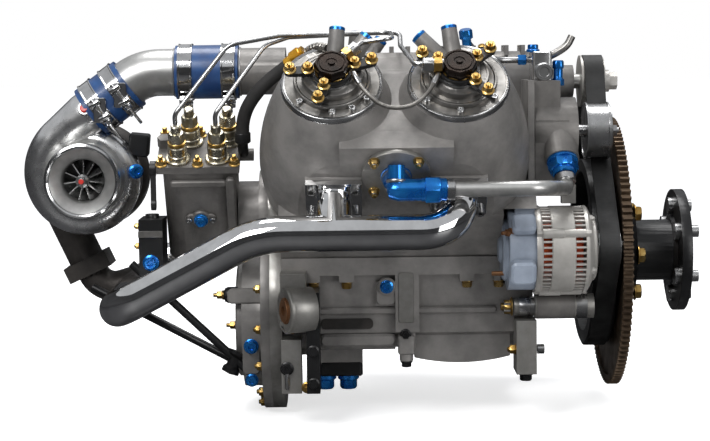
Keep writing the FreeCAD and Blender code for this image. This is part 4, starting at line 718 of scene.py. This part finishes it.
piece("scroll_plug", placed(scroll_plug, PLUG_AT, PLUG_OUT), "red_plastic")
fitting = joined(turned([(0, 0), (5, 0), (5, 27), (0, 27)], 24), placed(plug(8, 12), (0, 0, 26)))
piece("actuator_fitting", placed(fitting, (-749, -8, 118), (0.25, -0.97, 0.04)), "blue_anodised")
piece("actuator_box", placed(slab(28, 26, 30, 4, 2), (-744, 14, 138), (0.1, -0.1, 0.98)), "black_plastic")
turbine_studs = on_turbo(joined(around_ring(placed(hex_bolt(5, 5), (0, 0, -62)), 37, range(20, 380, 60)),
                                around_ring(placed(hex_bolt(5.4, 6), (0, 0, -70)), 47, range(0, 360, 60))))
piece("turbine_bolts", turbine_studs, "ring_steel")

# ---------------------------------------------------------------- coolant elbow, pipe and plates


def off_bore(out, up=0.0):
    """A point outward of the near bores and up them from the coolant plate's middle."""
    return np.array((PLATE_X, -HALF * (PLATE_HEIGHT + up + out), HALF * (PLATE_HEIGHT + up - out)))


corner = off_bore(ELBOW_CORNER)
elbow_path = spaced(eased([off_bore(ELBOW_ROOT), corner, corner, corner + (36, 0, 0)]), 2)
flange_nut = turned([(0, -1), (19, -1), (19, 2), (17, 3, 6), (17, 11, 6), (15.4, 13), (13.5, 13), (0, 13)])
swivel_nut = turned([(0, -5), (14.4, -5), (14.4, -1), (17.4, 0, 6), (17.4, 16, 6), (15.6, 18), (14, 19),
                     (14, 25), (12.6, 26.5), (0, 26.5)])
outlet_nut = turned([(0, 0), (20, 0), (20, 3.4), (19.6, 4, 6), (19.6, 14.6, 6), (17.6, 16.4), (15, 17),
                     (15, 22), (13.6, 23.6), (0, 23.6)])
OUTLET_DOWN = np.array((0.05, -0.62, -0.783))
outlet_end = np.array((-184, WATER_PUMP[0] - 22, WATER_PUMP[1] - 4)) + OUTLET_DOWN * 40
fittings = joined(carried(elbow_path, 13.5, 40), placed(flange_nut, off_bore(PLATE_FACE), BANK_OUT),
                  placed(swivel_nut, corner + (35, 0, 0), FORWARD),
                  placed(outlet_nut, outlet_end, OUTLET_DOWN))
piece("blue_unions", fittings, "blue_anodised", replaces=("coolant_fittings",))
sleeve = turned([(0, 0), (12.6, 0), (13.4, 1), (13.4, 9), (12.6, 10), (0, 10)])
piece("pipe_sleeves", joined(placed(sleeve, corner + (61, 0, 0), FORWARD),
                             placed(sleeve, outlet_end + OUTLET_DOWN * 25, OUTLET_DOWN)), "machined")
plate_nuts = joined(*[placed(hex_bolt(6, 7, stud=4), off_bore(PLATE_FACE, up) + (across, 0, 0), BANK_OUT)
                      for across in (-27, 27) for up in (-27, 27)])
piece("plate_nuts", both_sides(plate_nuts, BANK_SHIFT), "gold")
neck_from = off_bore(PLATE_BASE, 18)
neck_run = corner - neck_from
elbow_neck = turned([(0, 0), (10.6, 0), (10.6, 17), (11.4, 18), (11.4, 24), (0, 24)])
elbow_seal = ring_of([(10, 17), (12.4, 17), (13, 18), (13, 20), (12.4, 21), (10, 21)])
piece("elbow_neck", placed(elbow_neck, neck_from, neck_run), "blue_anodised")
piece("elbow_seal", placed(elbow_seal, neck_from, neck_run), "machined")

# ---------------------------------------------------------------- leak-off hose, fuel unions and hoses

leak_path = spaced(eased([(-447, -258, 248), (-436, -273, 228), (-412, -283, 207), (-378, -283, 207),
                          (-356, -277, 226), (-345, -260, 246)]), 1.3)
piece("leak_off_hose", carried(leak_path, 2.5, 24, braid=0.16), "braid")
ferrule = turned([(0, -2), (3.6, -2), (3.9, 0), (3.9, 14), (3.3, 16), (0, 16)], 24)
leak_ends = ((leak_path[0], leak_path[9]), (leak_path[-1], leak_path[-10]))
ferrules = joined(*[placed(ferrule, end, inner - end) for end, inner in leak_ends])
piece("leak_off_ferrules", ferrules, "machined")
hose_path = spaced(eased([(-521, -178, 265), (-537, -173, 254), (-561, -166, 236), (-581, -158, 212),
                          (-590, -147, 190), (-591, -140, 168)]), 2)
piece("return_hose", carried(hose_path, 8.6, 28), "rubber", replaces=("return_hoses",))
hose_collar = turned([(0, -4), (9.6, -4), (9.6, 0), (12.6, 1, 6), (12.6, 13, 6), (11, 15), (10, 15), (10, 24),
                      (9.2, 25), (0, 25)])
piece("hose_collar", placed(hose_collar, (-511, -182, 273), (-19, 6, -14)), "yellow_gold")
union_path = spaced(eased([(-591, -140, 168), (-591, -139, 158), (-591, -130, 149), (-591, -114, 146)]), 1.5)
union_ring = turned([(0, -6), (9.8, -6), (10.4, -5), (10.4, 6), (9, 7.4), (0, 7.4)], 32)
hose_end = joined(placed(union_ring, union_path[0], (0, 0.18, -1)), carried(union_path, 6.8, 24))
piece("hose_end_union", hose_end, "black_satin")
vent_path = spaced(eased([(-508, -184, 274), (-500, -190, 280), (-490, -196, 283), (-480, -206, 280)]), 1.3)
piece("vent_hose", carried(vent_path, 5, 24, braid=0.14), "braid")

# ---------------------------------------------------------------- lower crankcase trim

CASE_SIDE, POST_X, FOOT_LEVEL = -124, -383, -111


def pair(name, finish, slot, *stands):
    """A piece on both sides of the engine, from the near side's (shape, place, direction) of each part."""
    piece(name, both_sides(joined(*[placed(*stand) for stand in stands])), finish)


pair("rail_bolts", "gold", "gold",
     *[(hex_bolt(6.4, 9), (x, CASE_SIDE, -23), BELOW) for x in (-503, -460, -303, -262)])
pair("plug_tabs", "casting", "cast_engine", (slab(26, 30, 8, 7, 1.5), (-409, -121, -39), NEARWARD),
     (turned([(0, 0), (12, 0), (12, 4), (10.6, 5.4), (0, 5.4)]), (-408, -128, -29), NEARWARD))
pair("crankcase_plugs", "blue_anodised", "blue_anodised", (plug(7, 8), (-408, -133, -29), NEARWARD))
pair("rib_feet", "casting", "cast_engine", (slab(22, 20, 26, 4, 2), (POST_X, CASE_SIDE, -93), BELOW),
     (turned([(0, 0), (9, 0), (9, 8), (7.6, 9.4), (0, 9.4)], 36), (POST_X, CASE_SIDE, -119), BELOW))
pair("drain_plugs", "black_satin", "black_steel", (plug(6.4, 9), (POST_X, CASE_SIDE, -127), BELOW),
     (plug(6, 6), (-384, -131, -92), NEARWARD))
piece("oil_block", placed(slab(58, 42, 20, 5, 2), (-469, -42, -139), BELOW), "black_satin")
piece("oil_block_caps", joined(*[placed(plug(11.6, 20), (x, -46, -158), BELOW) for x in (-490.5, -459.6)]),
      "blue_anodised")
pair("case_ribs", "casting", "cast_engine", (slab(236, 9, 5, 4, 2), (-382, -119.5, -62), NEARWARD),
     (slab(100, 17, 9, 8, 3), (-446, -114.5, -101), NEARWARD))
# Thin dark pads, 1.2 mm proud of the case wall, where the case looks dark: painted shade, with no recess cut
# into the case.
pair("painted_case_shade", "iron", "cast_engine", (slab(68, 14, 1.2, 6, 0.4), (-460, -119.3, -79), NEARWARD))
pair("post_facings", "gearcase", "cast_engine", (slab(20, 66, 2, 4, 0.8), (POST_X, -131.6, -44), NEARWARD))
pair("foot_plugs", "black_satin", "black_steel", (plug(8, 12), (-228, -135, -142), BELOW))
pair("foot_bolts", "gold", "gold", (hex_bolt(6.4, 9, stud=3), (-241, -146, FOOT_LEVEL), REARWARD))
pair("foot_screws", "machined", "machined", (cap_screw(6.4, 9), (-214, -146, FOOT_LEVEL), FORWARD))

# ---------------------------------------------------------------- rear gearcase, cover and mount trim

COVER_CIRCLE, COVER_LEVEL, COVER_CLEAR = 127, -75, 62
cover_bolts = []
for turn in range(-80, 281, 24):
    angle = math.radians(turn)
    spot = (-572.6, COVER_CIRCLE * math.cos(angle), COVER_LEVEL + COVER_CIRCLE * math.sin(angle))
    if math.hypot(spot[1] + 70, spot[2] - 64) > COVER_CLEAR:
        cover_bolts.append(placed(hex_bolt(6.2, 7, stud=3), spot, REARWARD))
piece("cover_bolts", joined(*cover_bolts), "gold")
cover_steps = joined(
    placed(turned([(0, 0), (78, 0), (78, 7), (75, 9.5), (0, 9.5)], 96), (-600, 0, -88), REARWARD),
    placed(slab(66, 20, 14, 7, 2), (-586, -74, -46), (0, -1, 0.05)),
    placed(slab(24, 62, 12, 7, 2), (-588, -76, -120), (0, -1, 0.05)))
piece("cover_steps", cover_steps, "casting")
piece("cover_plugs", joined(placed(plug(8, 10), (-588, -88, -112), NEARWARD),
                            placed(plug(7, 9), (-588, -86, -158), NEARWARD)), "blue_anodised")
cover_caps = joined(
    placed(turned([(0, 0), (11, 0), (11, 13), (9, 17), (5, 19), (0, 19.6)], 40), (-606, -66, -46), REARWARD),
    placed(turned([(0, 0), (14, 0), (14, 4), (9, 8), (9, 20), (12, 24), (12, 30), (0, 32)], 40),
           (-606, -74, -122), (-0.4, -0.1, -0.9)))
piece("cover_cap", cover_caps, "black_satin")
cover_unions = [placed(hex_bolt(5.6, 9, stud=5), spot, REARWARD)
                for spot in ((-609, -58, -88), (-609, -40, -130), (-625, -66, -46))]
piece("cover_unions", joined(*cover_unions), "gold")
BOSS_AXIS = np.array((0.927, 0.375, 0))
BOSS_FACE = np.array((-538.0, -182, -52))
BRACKET_X = -537.9
pair("mount_sleeves", "bronze", "bearing_bronze",
     (ring_of([(6.6, -3.4), (14.4, -3.4), (15, -2.6), (15, -1.2), (6.6, -1.2)], 48), BOSS_FACE, BOSS_AXIS),
     (ring_of([(6.6, 1.2), (15, 1.2), (15, 2.6), (14.4, 3.4), (6.6, 3.4)], 48), BOSS_FACE + BOSS_AXIS * 35,
      BOSS_AXIS))
pair("boss_rims", "gearcase", "gearcase",
     (ring_of([(25, -1.6), (28, -1.6), (29.6, 0), (29.6, 3), (25, 3)], 72), BOSS_FACE, BOSS_AXIS))
pair("bracket_plugs", "black_satin", "black_steel", (plug(7, 8), (BRACKET_X, -166, -128.9), NEARWARD))
pair("bracket_pins", "machined", "machined",
     (turned([(0, 0), (3, 0), (3, 20), (2.2, 22), (0, 22)], 20), (BRACKET_X, -168, -134), BELOW))
pair("bracket_bolts", "gold", "gold", *[(cap_screw(6, 6), (-530, -176, z), NEARWARD) for z in (-30, -76)],
     (hex_bolt(6.4, 8, stud=4), (-512, -166, -154), NEARWARD))
pair("plate_bolts", "black_satin", "black_steel",
     *[(hex_bolt(6.4, 7), (-503.5, -184, z), NEARWARD) for z in (-104, -146)])

# ---------------------------------------------------------------- front end: unions, pulleys, alternator, hub

block_eye = turned([(0, 0), (12, 0), (12, 10), (10.6, 12), (7, 12), (6.4, 10), (0, 10)], 48)
front_block = joined(placed(slab(25.4, 47.4, 38.5, 4, 1.6), (-202, -82, 234.4)),
                     placed(block_eye, (-201, -105.6, 246), NEARWARD))
piece("outlet_block", front_block, "machined")
tall_union = turned([(0, 0), (8, 0, 6), (8, 8, 6), (6, 10), (6, 22), (7.6, 23, 6), (7.6, 31, 6), (6, 33),
                     (0, 33)], 36)
piece("outlet_unions", joined(placed(plug(7, 10), (-212, -84, 272)), placed(tall_union, (-180, -92, 228))),
      "blue_anodised")
transfer = spaced(eased([(-214, -84, 262), (-240, -84, 262), (-262, -90, 262), (-284, -120, 268),
                         (-300, -150, 282), (-304, -158, 290)]), 3)
piece("transfer_pipe", carried(transfer, 4.2, 20), "machined")
pipe_union = turned([(0, -10), (6, -10), (6, 0), (8.6, 0, 6), (8.6, 10, 6), (7, 12), (0, 12)], 36)
block_union = turned([(0, 0), (7.6, 0, 6), (7.6, 10, 6), (6, 11), (0, 11)], 36)
piece("transfer_unions", joined(placed(pipe_union, (-304, -158, 290), (-0.1, -0.25, 0.9)),
                                placed(block_union, (-232, -84, 262), FORWARD)), "blue_anodised")
breather = spaced(eased([(-190, -78, 266), (-178, -78, 272), (-166, -78, 280), (-160, -76, 292)]), 2)
piece("breather_stub", carried(breather, 5, 24), "head_steel")

# A dished pulley face: rim, hollow, hub and its nut.
idler_face = turned([(0, 0), (34, 0), (34, 1.6), (32, 2.4), (29, 1.2), (15.2, 0.8), (13.6, 3), (8, 3.2, 6),
                     (8, 10, 6), (6.72, 11.4), (4, 11.4), (4, 14), (0, 14)], 48)
idler_lips = joined(*[ring_of([(34.8, x), (37.4, x), (37.4, x + 2), (34.8, x + 2.4)], 72)
                      for x in (-30.5, -2)])
piece("idler_face", placed(idler_face, (-116.8, *WATER_PUMP), FORWARD), "machined", body="water_pump_shaft")
piece("idler_lips", placed(idler_lips, (-117, *WATER_PUMP), FORWARD), "machined", body="water_pump_shaft")


def slotted_ring(level, length, bars=46):
    """A cage of flat bars round the alternator, which leaves the winding showing between them."""
    bar = slab(5.4, 2.7, length, 0.8, 0.3, around=8)
    return placed(around_ring(bar, 52.2, np.arange(bars) * 360 / bars), (level, *ALTERNATOR), FORWARD)


def shell_ring(level, length, inner=50.2, outer=55.6):
    """A plain band of the alternator's shell with eased rims."""
    return placed(ring_of([(inner, 0), (outer - 1, 0), (outer, 1), (outer, length - 1), (outer - 1, length),
                           (inner, length)], 96), (level, *ALTERNATOR), FORWARD)


through_bolt = turned([(0, 0), (4.6, 0, 6), (4.6, 6, 6), (4, 7), (6.4, 7.4), (6.4, 34), (5.4, 35), (5.4, 61),
                       (4, 61.4), (4.6, 62, 6), (4.6, 68, 6), (0, 68)], 24)
through_bolts = [placed(through_bolt, (-220, ALTERNATOR[0] + across, ALTERNATOR[1] + up), FORWARD)
                 for across, up in ((0, -54), (-50, 25), (48, 26))]
front_bell = placed(turned([(10, 0), (55.6, 0), (55.6, 4), (53.6, 6), (44, 11), (30, 12.6), (10, 12.6)], 96),
                    (-158, *ALTERNATOR), FORWARD)
shell = joined(shell_ring(-217, 4), slotted_ring(-213.4, 12.8), shell_ring(-201, 30),
               slotted_ring(-171.4, 13.8), front_bell, *through_bolts)
piece("alternator_shell", shell, "alternator", replaces=("alternator_housing",))
STUD_CIRCLE = 47
front_studs = []
for turn in np.radians((30, 120, 210, 300)):
    spot = (-153, ALTERNATOR[0] + STUD_CIRCLE * math.cos(turn), ALTERNATOR[1] + STUD_CIRCLE * math.sin(turn))
    front_studs.append(placed(hex_bolt(5, 6, stud=3), spot, FORWARD))
rear_lip = ring_of([(50, -3), (56, -3), (56.6, -1), (56.6, 3), (55, 5), (50, 5)], 96)
front_ring = ring_of([(24, 0), (41, 0), (41, 3), (38, 5), (28, 5), (24, 3)], 72)
alternator_trim = joined(placed(rear_lip, (-217, *ALTERNATOR), FORWARD),
                         placed(front_ring, (-146.5, *ALTERNATOR), FORWARD), *front_studs)
piece("alternator_trim", alternator_trim, "alternator")
cover_face = turned([(0, 0), (40, 0), (40, 5), (36, 8), (18, 8), (14, 12), (0, 12)], 72)
cover_trim = joined(placed(cover_face, (-253, *ALTERNATOR), REARWARD),
                    placed(slab(30, 26, 14, 6, 3), (-236, -196, 52), (0, -0.75, 0.66)),
                    placed(slab(32, 30, 16, 8, 3), (-238, -205, 0), (0, -1, -0.3)))
piece("cover_lobes", cover_trim, "cover_blue")
terminal = turned([(0, 0), (5, 0), (5, 3), (3, 4), (3, 20), (2.4, 21), (0, 21)], 24)
terminals = joined(placed(hex_bolt(5, 8, stud=7), (-252, -196, 46), (-0.8, -0.6, 0)),
                   placed(terminal, (-254, -176, -8), REARWARD))
piece("terminals", terminals, "bronze")
piece("pivot_nut", placed(hex_bolt(10.4, 11, stud=4), (-246, *PIVOT), REARWARD), "gold")
pivot_barrel = turned([(0, 0), (15, 0), (16.4, 1.4), (16.4, 50), (15, 51.4), (0, 51.4)])
piece("pivot_barrel", placed(pivot_barrel, (-216, *PIVOT), FORWARD), "pump_casting")
rear_bush = turned([(0, 0), (12, 0), (12.6, 1), (12.6, 11), (11.4, 12), (11.4, 14), (12.6, 15), (12.6, 21),
                    (0, 21)])
front_bush = turned([(0, 0), (16.4, 0), (16.4, 14), (15, 15), (9, 15), (9.4, 16, 6), (9.4, 21, 6), (0, 22)])
piece("pivot_bushes", joined(placed(rear_bush, (-238, *PIVOT), FORWARD),
                             placed(front_bush, (-164, *PIVOT), FORWARD)), "machined")
hub_heads = around_ring(hex_bolt(10.6, 9.5, flange=1.18), 61, range(0, 360, 60))
piece("hub_bolt_heads", placed(hub_heads, (HUB_FLANGE, 0, 0), FORWARD), "gold", body="crank_train",
      replaces=("hub_bolts",))
hub_steps = joined(ring_of([(40, 3), (44.5, 3), (46, 1.5), (46, -1), (40, -1)], 72),
                   ring_of([(40, 52), (46, 52), (49, 56.6), (40, 56.6)], 72))
piece("hub_steps", placed(hub_steps, (HUB_FLANGE, 0, 0), FORWARD), "black_satin",
      body="crank_train")
ring_bolts = placed(around_ring(cap_screw(6, 5), 106, range(15, 375, 45)), (RING_FACE, 0, 0), FORWARD)
piece("ring_screws", ring_bolts, "machined", body="crank_train")

# ---------------------------------------------------------------- stage

floor_z = cad_box[0][2]
floor = bpy.data.objects.new("floor", bpy.data.meshes.new("floor"))
half = 30.0
floor.data.from_pydata([(-half, -half, floor_z), (half, -half, floor_z), (half, half, floor_z),
                        (-half, half, floor_z)], [], [(0, 1, 2, 3)])
floor_material = bpy.data.materials.new("floor")
floor_material.use_nodes = True
floor_tree = floor_material.node_tree
paper = floor_tree.nodes["Principled BSDF"]
paper.inputs["Base Color"].default_value = (0.9, 0.9, 0.9, 1)
paper.inputs["Roughness"].default_value = 0.9
floor_rays = add(floor_tree, "ShaderNodeLightPath")
floor_seen = add(floor_tree, "ShaderNodeMath", {0: floor_rays.outputs["Is Camera Ray"],
                                                1: floor_rays.outputs["Is Glossy Ray"]}, operation="MAXIMUM")
glow = add(floor_tree, "ShaderNodeMath", {0: floor_seen.outputs[0], 1: 0.62}, operation="MULTIPLY")
paper.inputs["Emission Color"].default_value = (1, 1, 1, 1)
floor_tree.links.new(glow.outputs[0], paper.inputs["Emission Strength"])
floor.data.materials.append(floor_material)
bpy.context.scene.collection.objects.link(floor)

# A dark tray round the set that only reflections see, so that bright metal has something dark to show.
wall_rows = np.array([(0.01, floor_z + 0.002), (4.2, floor_z + 0.002), (4.4, 0.8), (4.4, 1.9)])
TRAY_SIDES = 64
wall_turn = 2 * np.pi * np.arange(TRAY_SIDES) / TRAY_SIDES
wall_points = np.stack([wall_rows[:, :1] * np.cos(wall_turn), wall_rows[:, :1] * np.sin(wall_turn),
                        np.repeat(wall_rows[:, 1:], TRAY_SIDES, axis=1)], axis=-1)
wall_mesh = bpy.data.meshes.new("dark_wall")
wall_shape = skin(wall_points)
wall_mesh.from_pydata(wall_shape[0].tolist(), [], wall_shape[1].tolist())
wall = bpy.data.objects.new("dark_wall", wall_mesh)
wall_material = bpy.data.materials.new("dark_wall")
wall_material.use_nodes = True
wall_material.node_tree.nodes["Principled BSDF"].inputs["Base Color"].default_value = (0.028, 0.028, 0.03, 1)
wall_mesh.materials.append(wall_material)
bpy.context.scene.collection.objects.link(wall)
wall.visible_camera = False
wall.visible_diffuse = False
wall.visible_shadow = False
wall.visible_transmission = False


def area_light(name, at, aim, size, power):
    """A square soft lamp that looks at a point."""
    lamp = bpy.data.lights.new(name, "AREA")
    lamp.shape = "RECTANGLE"
    lamp.size, lamp.size_y = size
    lamp.energy = power
    made = bpy.data.objects.new(name, lamp)
    made.matrix_world = Matrix.Translation(Vector(at)) @ (Vector(aim) - Vector(at)).to_track_quat(
        "-Z", "Y").to_matrix().to_4x4()
    bpy.context.scene.collection.objects.link(made)


MIDDLE = (-0.45, 0, 0.05)
area_light("key", (-1.6, -2.2, 1.9), MIDDLE, (1.2, 1.2), 62)
area_light("fill", (1.4, -2.2, 0.7), MIDDLE, (1.4, 1.4), 22)
area_light("top", (-0.4, 0.4, 2.2), MIDDLE, (1.6, 1.0), 40)
world = bpy.data.worlds.new("world")
bpy.context.scene.world = world
world.use_nodes = True
tree = world.node_tree
tree.nodes.clear()
rays = add(tree, "ShaderNodeLightPath")
seen = add(tree, "ShaderNodeMath", {0: rays.outputs["Is Camera Ray"], 1: rays.outputs["Is Transmission Ray"]},
           operation="MAXIMUM")
plain = add(tree, "ShaderNodeBackground", {"Color": (1, 1, 1, 1), "Strength": 1.0})
soft = add(tree, "ShaderNodeBackground", {"Color": (0.95, 0.97, 1, 1), "Strength": 0.55})
mixed = add(tree, "ShaderNodeMixShader", {0: seen.outputs[0], 1: soft.outputs[0], 2: plain.outputs[0]})
add(tree, "ShaderNodeOutputWorld", {"Surface": mixed.outputs[0]})
